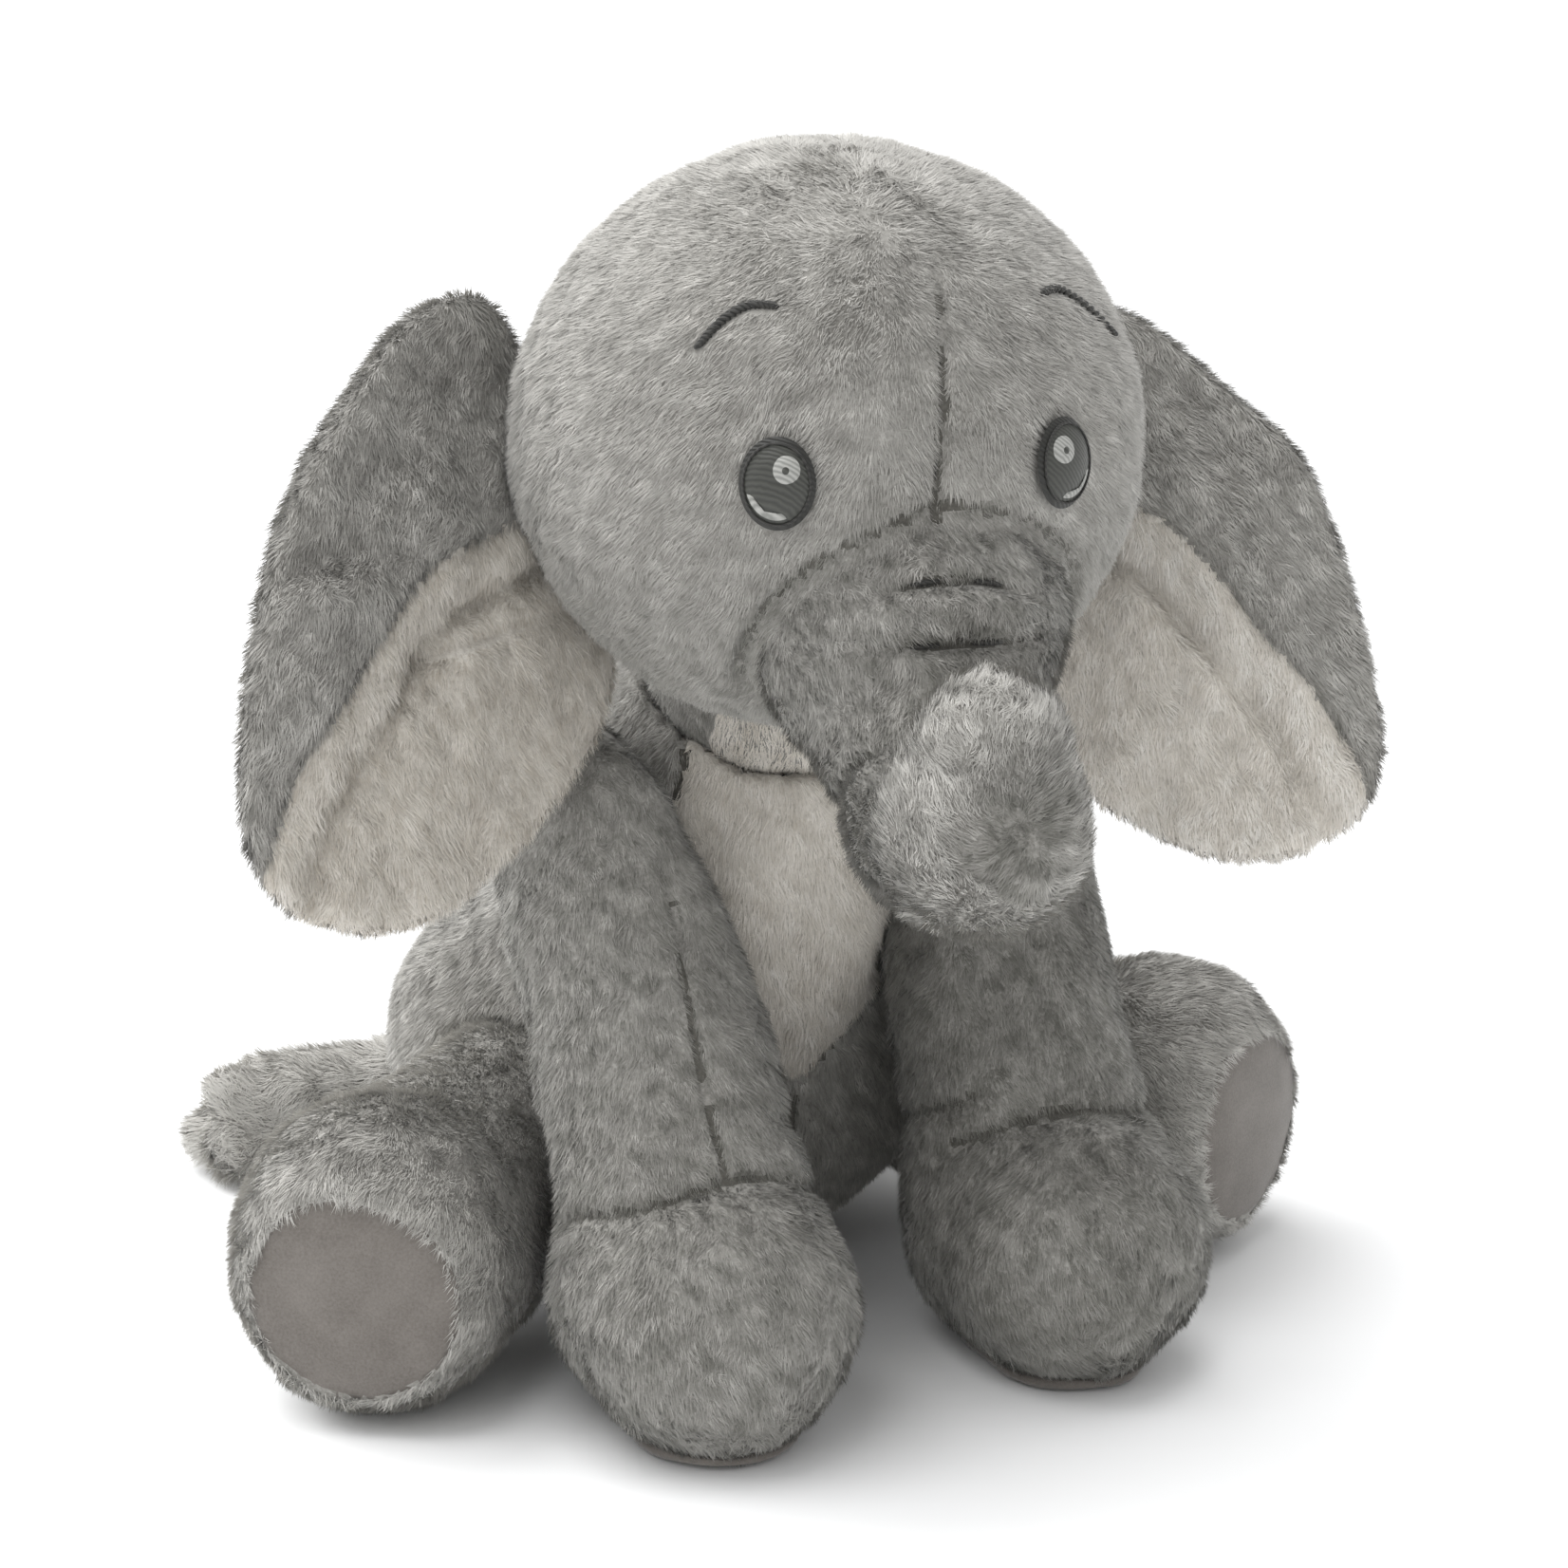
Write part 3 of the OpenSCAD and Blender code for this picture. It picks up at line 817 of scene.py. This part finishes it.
def plush(names, field, low, high, cell, place, body, comb, seed, replaces, cream=None, keep=None, bend=None,
          filling=None, **how):
    """A stuffed cover: its skin, split where the cloth changes, its filling and its pile."""
    skin = net(field, low, high, cell)
    verts, quads, normals = skin
    mid = verts[quads].mean(1)
    cream = cream or (lambda p: np.zeros(len(p), bool))
    keep = keep or (lambda p: np.ones(len(p), bool))
    light = cream(mid)
    near = closest(how["lines"](mid) if "lines" in how else [], len(mid), sunk=True)
    world = moved(verts, place)
    world[:, 2] = np.maximum(world[:, 2], CLOTH_LIFT)
    if mirrors(place):
        quads = quads[:, ::-1]
    for i, (name, nodes) in enumerate(zip(names, replaces)):
        own = light == bool(i) if len(names) > 1 else np.ones(len(quads), bool)
        used, flat = np.unique(quads[own], return_inverse=True)
        cloths = [CREAM_CLOTH if i else GREY_CLOTH, SHADED_CLOTH]
        o = mesh_object(name, world[used], flat.reshape(-1, 4), cloths, near[own] > SHADED_FROM)
        attach(o, body, bend)
        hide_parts(*nodes)
    if filling:
        stuffing(filling + "_fill", field, low, high, place, body, bend, [filling])
    for o in pile(names[0] + "_pile", skin, place, comb, cream, keep, seed, **how):
        attach(o, body, bend)


def outside(place, *others):
    """Keeps the fibres whose roots are not buried in the other forms."""

    def keep(p):
        world = moved(p, place)
        ok = world[:, 2] > 1.0
        for field, there in others:
            ok &= field(moved(world, np.linalg.inv(there))) > -BURIED
        return ok

    return keep


def build_head():
    def comb(p):
        return flow(p, 0.012 * (p[:, 0] - HEAD[0]), 0.3, -1.0)

    clear = outside(ON_HEAD, (trunk_field, ON_HEAD), (neck_field, STILL))

    def keep(p):
        ok = clear(p)
        for side in SIDES:
            ok &= (eye_distance(p, side) > 0.3) & (brow_distance(p, side) > 1.3)
        return ok

    # Painted light and shade on the head's pile: lighter on the crown and darker low on the cheeks and chin, as light
    # falls from above. It is also lighter round the eyes and a little darker down the middle of the face's front.
    def shade(p):
        low = 1 - step(p[:, 2], 185, 250)
        sockets = sum(bump(eye_distance(p, s), 5) for s in SIDES)
        return 0.9 * step(p[:, 2], 255, 295) - 1.2 * low + 0.5 * sockets - 0.4 * bump(p[:, 0], 14) * (p[:, 1] < -140)

    # The head's whole pile is also a little lighter: painted light from above.
    plush(["head_cover"], head_field, HEAD - 86, HEAD + 86, 2.4, ON_HEAD, "head", comb, 100,
          [["head_panel_left", "head_panel_right"]], keep=keep, shade=shade, lines=head_lines,
          filling="head_stuffing", length=3.1, tousle=0.75, tone=0.55)


def build_trunk():
    def comb(p):
        near = bump(ball(p, SWIRL, 0), 20)[:, None]
        return down_spine(p, TRUNK) * (1 - near) + 1.6 * unit(p - SWIRL) * near

    # Painted shade on the trunk's pile: darkest in the parting of the whorl on the tip, where the shaded roots show.
    # It is also lighter in a ring round the whorl on the tip's front, and darker on the part nearer the head.
    def shade(p):
        core = bump(ball(p, SWIRL, 0), 13)
        ring = bump(ball(p, SWIRL, 27), 9)
        return 1.7 * ring * (p[:, 1] < -190) - 3.2 * core - 0.5 * (p[:, 1] > -185)

    plush(["trunk_cover_skin"], trunk_field, (-46, -226, 128), (46, -90, 244), 1.7, ON_HEAD, "trunk", comb, 200,
          [["trunk_cover"]], keep=outside(ON_HEAD, (head_field, ON_HEAD)),
          bend=("head", "trunk", *moved(TRUNK_BEND, ON_HEAD)),
          length=3.5, lift=34, density=3.8, tousle=1.25, shade=shade, lines=trunk_lines,
          filling="trunk_stuffing")


def build_ears():
    for side in SIDES:
        place = ear_place(side)

        def comb(p):
            return np.where(ear_is_cream(p, side)[:, None], flow(p, 0.25, -1.0, 0.1), flow(p, 0.7, -0.9, 0.2))

        # Painted light and shade on an ear's front: lighter on the raised cream roll beside the seam and darker in
        # the groove at the seam. It is also lighter towards the ear's lower tip. The right ear's lining is darker all
        # over: painted shade, as it is the same cream cloth as the left one.
        def shade(p):
            past = ear_faces(p, side)[2]
            front = p[:, 2] > 0
            rim = 0.9 * bump(past + 5, 4) + 0.5 * step(-p[:, 1], 92, 112) - 1.2 * bump(past - 1, 1.5)
            return front * rim - (1.6 if side == "right" else 0.0) * ear_is_cream(p, side)

        # Each ear's whole pile is also a little lighter: painted light.
        plush([f"ear_back_{side}_skin", f"ear_lining_{side}_skin"], lambda p: ear_field(p, side), (-32, -120, -12),
              (94, 40, 18), 2.0, place, f"ear_{side}", comb, 300 + 50 * (side == "left"),
              [[f"ear_back_{side}"], [f"ear_lining_{side}"]], cream=lambda p: ear_is_cream(p, side),
              keep=outside(place, (head_field, ON_HEAD)), length=4.0, lift=32, lines=lambda p: ear_lines(p, side),
              shade=shade, tone=0.7,
              filling=f"ear_wadding_{side}", bend=("head", f"ear_{side}", *moved(EAR_BEND, place)))


def build_torso():
    def comb(p):
        return flow(p, 0.004 * p[:, 0], 0.1, -1.0)

    legs = [(lambda p, s=s: front_leg_field(p, s), STILL) for s in SIDES]
    legs += [(lambda p, s=s: hind_leg_field(p, s), STILL) for s in SIDES]
    plush(["torso_cover", "bib_cover"], torso_field, (-92, -92, -4), (92, 78, 194), 2.5, STILL, "torso", comb, 400,
          [["torso_panel_left", "torso_panel_right"], ["bib_panel"]], cream=in_bib,
          keep=outside(STILL, (neck_field, STILL), *legs), lines=torso_lines, filling="torso_stuffing")


def build_neck():
    def comb(p):
        return flow(p, 0, 0, -1.0)

    def under_chin(p):
        return (p[:, 1] < -70) & (np.abs(p[:, 0]) < 25)

    # The neck's pile is darker all over: painted shade under the chin.
    plush(["neck_cover"], neck_field, NECK - 40, NECK + 40, 3, STILL, "neck", comb, 450, [["neck_stuffing"]],
          keep=outside(STILL, (torso_field, STILL), (head_field, ON_HEAD)), length=3,
          cream=under_chin, tone=-0.8)


def build_front_legs():
    for side, x in SIDES.items():
        def comb(p):
            down = vec(0, -0.4, -0.9)
            toe = step(45 - p[:, 2], 0, 20)[:, None] * (p[:, 1] < -110)[:, None]
            return down[None] * (1 - 0.3 * toe) + toe * vec(0, -0.4, -0.2)

        low = (min(4 * x, 88 * x), -176, -2)
        high = (max(4 * x, 88 * x), -26, 168)
        # Both front legs' pile is darker: painted shade low on the body. The left leg is darker still: a painted
        # shadow of the ear and head.
        plush([f"front_leg_{side}_cover"], lambda p: front_leg_field(p, side), low, high, 2.4, STILL,
              f"front_leg_{side}", comb, 500 + 50 * (x > 0), [[f"front_leg_outer_{side}", f"front_leg_inner_{side}"]],
              keep=outside(STILL, (torso_field, STILL)), lines=lambda p: front_leg_lines(p, side),
              tone={"right": -0.8, "left": -1.4}[side],
              filling=f"front_leg_stuffing_{side}")


def build_hind_legs():
    for side, x in SIDES.items():
        hip, foot, axis = hip_of(side), HIND_FOOT[side], sole_axis(side)
        way = (foot - hip) / np.linalg.norm(foot - hip)

        def comb(p):
            near = bump(ball(p, foot, 0), 45)[:, None]
            return (1 - near) * (way + vec(0, 0, -0.4)) + near * (axis * 0.9 + vec(0, 0, -0.35))

        def keep(p):
            out, across = from_sole(p, side)
            return ~((across < SOLE_R - 0.5) & (out > SOLE_OUT - 4)) & (p[:, 2] > 1.2)

        # The hind legs' pile is lighter all over: painted light on the haunches, lit from behind.
        plush([f"hind_leg_{side}_cover"], lambda p: hind_leg_field(p, side), np.minimum(hip, foot) - 42,
              np.maximum(hip, foot) + 42, 2.4, STILL, f"hind_leg_{side}", comb, 600 + 50 * (x > 0),
              [[f"hind_leg_cover_{side}"]], keep=keep, length=3.8, lift=30, tone=1.7,
              lines=lambda p: hind_leg_lines(p, side),
              filling=f"hind_leg_stuffing_{side}")


def build_tail():
    def comb(p):
        tuft = step(-p[:, 0], 90, 110)[:, None]
        return down_spine(p, TAIL) * (1 - tuft) + tuft * unit(p - vec(-100, 79, 14))

    # The tail's pile is much lighter than the rest of the grey: painted light.
    plush(["tail_cover_skin"], tail_field, (-136, 46, -2), (2, 102, 50), 2.0, STILL, "tail", comb, 700,
          [["tail_cover"]], keep=outside(STILL, (torso_field, STILL)), length=5.0, lift=36, tone=3.2,
          filling="tail_stuffing")


# ---------- Eyes, brows, stitches and soles ----------

EYE_W, EYE_H = 8.6, 10.4
# The head falls away under an eye by the distance squared over this.
EYE_SAG = 150


def tangent_frame(field, point):
    """A point on the surface, with its right, up and out directions."""
    p = np.array(point, float)[None]
    for _ in range(6):
        g = steepest(field, p)
        p = p - (field(p) / (g**2).sum(1))[:, None] * g
    out = unit(steepest(field, p, 1.0))[0]
    right = np.cross(vec(0, 0, 1), out)
    right /= np.linalg.norm(right)
    return p[0], right, np.cross(out, right), out


EYE_FRAMES = {side: tangent_frame(plain_head, EYES[side]) for side in SIDES}


def eye_distance(p, side):
    centre, right, up, out = EYE_FRAMES[side]
    q = p - centre
    r = np.hypot(q @ right / EYE_W, q @ up / EYE_H)
    return np.where(np.abs(q @ out) < 15, (r - 1) * 10, 99)


def fan(n, rings):
    """Faces of a middle point inside rings of n points each."""
    faces = [(0, 1 + j, 1 + (j + 1) % n) for j in range(n)]
    for r in range(rings - 1):
        a, b = 1 + r * n, 1 + (r + 1) * n
        faces += [(a + j, b + j, b + (j + 1) % n, a + (j + 1) % n) for j in range(n)]
    return faces


def patch(name, side, outline, base, puff, material, rings=7):
    """A stitched patch on an eye: an outline in eye units, domed a little."""
    centre, right, up, out = EYE_FRAMES[side]
    line = np.array(outline, float)
    mid = line.mean(0)
    n = len(line)
    flat = [mid] + [mid + (line - mid)[j] * r / rings for r in range(1, rings + 1) for j in range(n)]
    flat = np.array(flat)
    level = np.array([0.0] + [r / rings for r in range(1, rings + 1) for _ in range(n)])
    x = flat[:, 0] * EYE_W * (-SIDES[side])
    y = flat[:, 1] * EYE_H
    sag = -(x**2 + y**2) / EYE_SAG
    dome = 1.6 * (1 - np.minimum(flat[:, 0] ** 2 + flat[:, 1] ** 2, 1))
    h = base + dome + sag + puff * (1 - level**4)
    pts = centre + x[:, None] * right + y[:, None] * up + h[:, None] * out
    faces = fan(n, rings)
    if SIDES[side] > 0:
        faces = [f[::-1] for f in faces]
    o = mesh_object(name, moved(pts, ON_HEAD), faces, [material])
    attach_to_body(o, "head")
    return o


def ring(radius, squeeze=1.0, at=(0, 0), n=72):
    a = np.linspace(0, 2 * math.pi, n, endpoint=False)
    return [(at[0] + radius * math.cos(t), at[1] + squeeze * radius * math.sin(t)) for t in a]


def tube(path, radii, sides=8):
    """Points and faces of a closed tube along a path."""
    path, radii = np.array(path, float), np.broadcast_to(radii, len(path))
    way = unit(np.gradient(path, axis=0))
    start = np.cross(way[0], vec(0.3, 0.2, 0.93))
    start /= np.linalg.norm(start)
    pts = []
    for c, w, r in zip(path, way, radii):
        start = start - (start @ w) * w
        start /= np.linalg.norm(start)
        other = np.cross(w, start)
        for t in np.linspace(0, 2 * math.pi, sides, endpoint=False):
            pts.append(c + r * (math.cos(t) * start + math.sin(t) * other))
    n = len(path)
    faces = [(i * sides + j, i * sides + (j + 1) % sides, (i + 1) * sides + (j + 1) % sides, (i + 1) * sides + j)
             for i in range(n - 1) for j in range(sides)]
    faces += [tuple(range(sides))[::-1], tuple(range((n - 1) * sides, n * sides))]
    return np.array(pts), faces


def threads(name, paths, radius, place, body, material):
    """Several short stitches in one mesh, each thick in the middle."""
    pts, faces, count = [], [], 0
    for path in paths:
        n = len(path)
        r = radius * (0.35 + 0.65 * np.sin(np.linspace(0.12, math.pi - 0.12, n)) ** 0.6)
        v, f = tube(path, r)
        faces += [tuple(i + count for i in q) for q in f]
        count += len(v)
        pts.append(v)
    o = mesh_object(name, moved(np.vstack(pts), place), faces, [material])
    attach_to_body(o, body)
    return o


def on_surface(field, points, lift):
    p = np.array(points, float)
    for _ in range(6):
        g = steepest(field, p)
        p = p - (field(p) / np.maximum((g**2).sum(1), 0.2))[:, None] * g
    return p + lift * unit(steepest(field, p, 0.6))


def build_eyes():
    for side in SIDES:
        rim = patch(f"eye_{side}_rim", side, ring(1.0), -0.7, 0.7, EYE_RIM)
        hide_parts("eye_" + side)
        patch(f"eye_{side}_iris", side, ring(0.84), -0.2, 0.5, EYE_DARK)
        patch(f"eye_{side}_glint", side, ring(0.36, 0.86, (0.26, 0.32)), 0.15, 0.5, EYE_LIGHT)
        patch(f"eye_{side}_glint_middle", side, ring(0.11, 0.86, (0.26, 0.32), 24), 0.55, 0.25, EYE_DARK, 3)
        arc = [(0.79 * math.cos(t), 0.76 * math.sin(t)) for t in np.radians(np.linspace(196, 290, 30))]
        back = [(0.70 * math.cos(t) + 0.03, 0.63 * math.sin(t)) for t in np.radians(np.linspace(284, 202, 28))]
        patch(f"eye_{side}_crescent", side, arc + back, 0.05, 0.35, EYE_LIGHT, 3)
        centre, right, up, out = EYE_FRAMES[side]
        line = []
        for t in np.linspace(0, 2 * math.pi, 90):
            x, y = EYE_W * 0.87 * math.cos(t), EYE_H * 0.87 * math.sin(t)
            line.append(centre + x * right + y * up + (0.45 - (x * x + y * y) / EYE_SAG) * out)
        v, f = tube(line, 0.28, 6)
        o = mesh_object(f"eye_{side}_outline", moved(v, ON_HEAD), f, [DARK_THREAD])
        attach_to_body(o, "head")


# Inner end, middle and outer end of each brow, as angles round and above the middle of the head.
BROWS = {
    "left": [(35, 34), (42, 34.5), (50, 29), (57, 22)],
    "right": [(-29, 35.5), (-35, 35.5), (-40, 31.5), (-43.5, 26.5)],
}


def brow_line(side):
    ends = rounded(BROWS[side], 3, closed=False)
    turn, height = np.radians(ends[:, 0]), np.radians(ends[:, 1])
    way = np.stack([np.sin(turn) * np.cos(height), -np.cos(turn) * np.cos(height), np.sin(height)], 1)
    return on_surface(head_field, HEAD + 76 * way, 0.0)


def brow_distance(p, side):
    """How far a point is from the middle line of a brow."""
    line = brow_line(side)
    return np.min([np.linalg.norm(p - c, axis=1) for c in line], axis=0)


def build_brows():
    for side, x in SIDES.items():
        line = brow_line(side)
        spots = np.linspace(0, len(line) - 1, 21)
        middle = np.stack([np.interp(spots, np.arange(len(line)), line[:, i]) for i in range(3)], 1)
        way = unit(np.gradient(middle, axis=0))
        out = unit(steepest(head_field, middle, 1.0))
        over = np.cross(out, way)
        fat = np.sin(math.pi * np.linspace(0.1, 0.9, 21)) ** 0.6
        slant = unit(0.75 * way + 0.55 * over * x) * (1.7 * fat)[:, None]
        paths = [c + 0.7 * o - 0.5 * h * h * o + h * v for c, o, v in zip(middle, out, slant)
                 for h in [np.linspace(-1, 1, 7)[:, None]]]
        o = threads(f"brow_{side}_stitches", paths, 0.6, ON_HEAD, "head", DARK_THREAD)
        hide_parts("brow_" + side)


def build_forehead_seam():
    heights = np.linspace(232, 279, 60)
    line = np.stack([face_middle(heights[:, None] * vec(0, 0, 1)), 0 * heights - 172, heights], 1)
    line = on_surface(head_field, line, -0.1)
    v, faces = tube(line, 0.42 * np.sin(np.linspace(0.5, math.pi - 0.1, len(line))) ** 0.5, 6)
    o = mesh_object("forehead_seam_thread", moved(v, ON_HEAD), faces, [DARK_THREAD])
    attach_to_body(o, "head")


# The stitches of each row, as spans across the muzzle, and how far they are from its middle.
STITCH_SPANS = [((-10, -3), (5, 12)), ((-12, -5), (4, 12))]
STITCH_REACH = 38


def build_wrinkles():
    paths = []
    for row, spans in enumerate(STITCH_SPANS):
        for x0, x1 in spans:
            line = []
            for x in np.linspace(x0, x1, 9):
                turn = math.radians(tuck_bend(row, x + MUZZLE[0]))
                line.append(MUZZLE + vec(x, -STITCH_REACH * math.cos(turn), STITCH_REACH * math.sin(turn)))
            paths.append(on_surface(trunk_field, line, 0.9))
    o = threads("wrinkle_stitch_threads", paths, 0.75, ON_HEAD, "trunk", DARK_THREAD)
    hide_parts("wrinkle_stitches")


def disc(name, rim, dome, edge, axis_up, material, body, nodes):
    """A sole or gusset: a puffed disc of cloth inside a rim of points."""
    rim = np.array(rim, float)
    mid = rim.mean(0)
    n, rings = len(rim), 16
    rng = np.random.default_rng(len(name))
    knots = np.arange(0, n + 8, 4)
    pucker = np.interp(np.arange(n), knots, rng.normal(size=len(knots)))
    pts = [mid + dome * axis_up]
    for r in range(1, rings + 1):
        f = r / rings
        h = dome * (1 - f**3.0) + 0.22 * pucker * f**6
        pts += list(mid + (rim - mid) * f + h[:, None] * axis_up)
    for f, drop in ((1.01, -0.5 * edge), (1.0, -edge), (0.9, -edge)):
        pts += list(mid + (rim - mid) * f + drop * axis_up)
    pts.append(mid - edge * axis_up)
    pts = np.array(pts)
    faces = fan(n, rings + 3)
    a = 1 + (rings + 2) * n
    faces += [(a + j, len(pts) - 1, a + (j + 1) % n) for j in range(n)]
    if np.cross(rim[n // 4] - mid, rim[n // 2] - mid) @ axis_up < 0:
        faces = [f[::-1] for f in faces]
    o = mesh_object(name, pts, faces, [material])
    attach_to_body(o, body)
    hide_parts(*nodes)


def build_soles():
    turns = np.linspace(0, 2 * math.pi, 96, endpoint=False)
    for side, x in SIDES.items():
        axis = sole_axis(side)
        right = np.cross(vec(0, 0, 1), axis)
        centre = HIND_FOOT[side] + axis * (SOLE_OUT + 0.4)
        rim = [centre + SOLE_R * (math.cos(t) * right + math.sin(t) * vec(0, 0, 1)) for t in turns]
        disc(f"hind_sole_{side}_suede", rim, 2.4, 1.6, axis, SUEDE, f"hind_leg_{side}",
             [f"hind_sole_{side}"])
        middle = vec(x * LEG_X, -119 - FOOT_LEAD[side], 4.0)
        rim = []
        for t in turns:
            way = vec(math.cos(t), math.sin(t), 0)
            reach = np.arange(8, 60, 0.25)
            d = front_leg_field(middle + reach[:, None] * way, side)
            rim.append(middle * vec(1, 1, 0) + (reach[np.argmax(d > 0)] + 0.9) * way + vec(0, 0, 1.6))
        disc(f"front_sole_{side}_suede", rim, 1.3, 1.9, vec(0, 0, -1), SUEDE, f"front_leg_{side}",
             [f"front_sole_{side}"])
    rim = [vec(25 * math.cos(t), 25 * math.sin(t), 1.6) for t in turns]
    disc("seat_gusset_cloth", rim, 1.2, 1.0, vec(0, 0, -1), GREY_CLOTH, "torso", ["seat_gusset"])


def dress_inner_nodes():
    for name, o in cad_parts.items():
        o.data.materials.clear()
        o.data.materials.append(POUCH if name == "pellet_pouch" else FIBRE)


# ---------- Stage: floor, lights and camera ----------


PAPER = (0.93, 0.935, 0.94, 1)


def build_floor():
    m, shader = principled("paper", 0.9, 0.0, 0.1)
    shader.inputs["Base Color"].default_value = PAPER
    size = 6000.0
    pts = np.array([(-size, -size, 0), (size, -size, 0), (size, size, 0), (-size, size, 0)], float)
    o = mesh_object("floor", pts, [(0, 1, 2, 3)], [m], smooth=False)


def point_at(o, place, way):
    o.location = place
    o.rotation_mode = "QUATERNION"
    o.rotation_quaternion = way.to_track_quat("-Z", "Y")


def lamp(name, place, aim, width, power, colour=(1, 1, 1)):
    data = bpy.data.lights.new(name, "AREA")
    data.shape = "DISK"
    data.size = width
    data.energy = power
    data.color = colour
    point_at(place_in_scene(name, data), place, Vector(aim) - Vector(place))


SKY_STRENGTH = 0.72
CEILING_POWER = 2.55
CEILING_SPREAD = 62
CEILING_WAY = Vector((0.26, -0.20, -0.95))


def build_lights():
    world = bpy.data.worlds.new("studio")
    bpy.context.scene.world = world
    world.use_nodes = True
    sky = world.node_tree.nodes["Background"]
    sky.inputs["Color"].default_value = (1, 1, 1, 1)
    sky.inputs["Strength"].default_value = SKY_STRENGTH
    data = bpy.data.lights.new("ceiling", "SUN")
    data.energy = CEILING_POWER
    data.angle = math.radians(CEILING_SPREAD)
    point_at(place_in_scene("ceiling", data), (0, 0, 0), CEILING_WAY)
    lamp("fill", (-1.0, -1.2, 1.7), (0, -0.1, 0.2), 0.9, 4)
    lamp("rim", (-0.9, 0.9, 0.7), (0, -0.02, 0.18), 0.8, 9)
    bpy.context.scene.view_settings.view_transform = "Standard"


CAMERA_AZIMUTH = -23.5
CAMERA_ELEVATION = 17.0
CAMERA_TARGET = Vector((0, -0.097, 0.140))
CAMERA_AWAY = 1.0
CAMERA_LENS = 94.75
CAMERA_SHIFT = (-0.0381, 0.0206)


def build_camera():
    a, e = math.radians(CAMERA_AZIMUTH), math.radians(CAMERA_ELEVATION)
    back = Vector((math.sin(a) * math.cos(e), -math.cos(a) * math.cos(e), math.sin(e)))
    data = bpy.data.cameras.new("camera")
    data.sensor_width = 36
    data.lens = CAMERA_LENS
    data.shift_x, data.shift_y = CAMERA_SHIFT
    data.clip_start = 0.05
    o = place_in_scene("camera", data)
    point_at(o, CAMERA_TARGET + CAMERA_AWAY * back, -back)
    bpy.context.scene.camera = o


BUILDERS = [
    build_head, build_trunk, build_ears, build_torso, build_neck, build_front_legs, build_hind_legs, build_tail,
    build_eyes, build_brows, build_forehead_seam, build_wrinkles, build_soles, dress_inner_nodes, build_floor,
    build_lights, build_camera,
]
for build in BUILDERS:
    build()
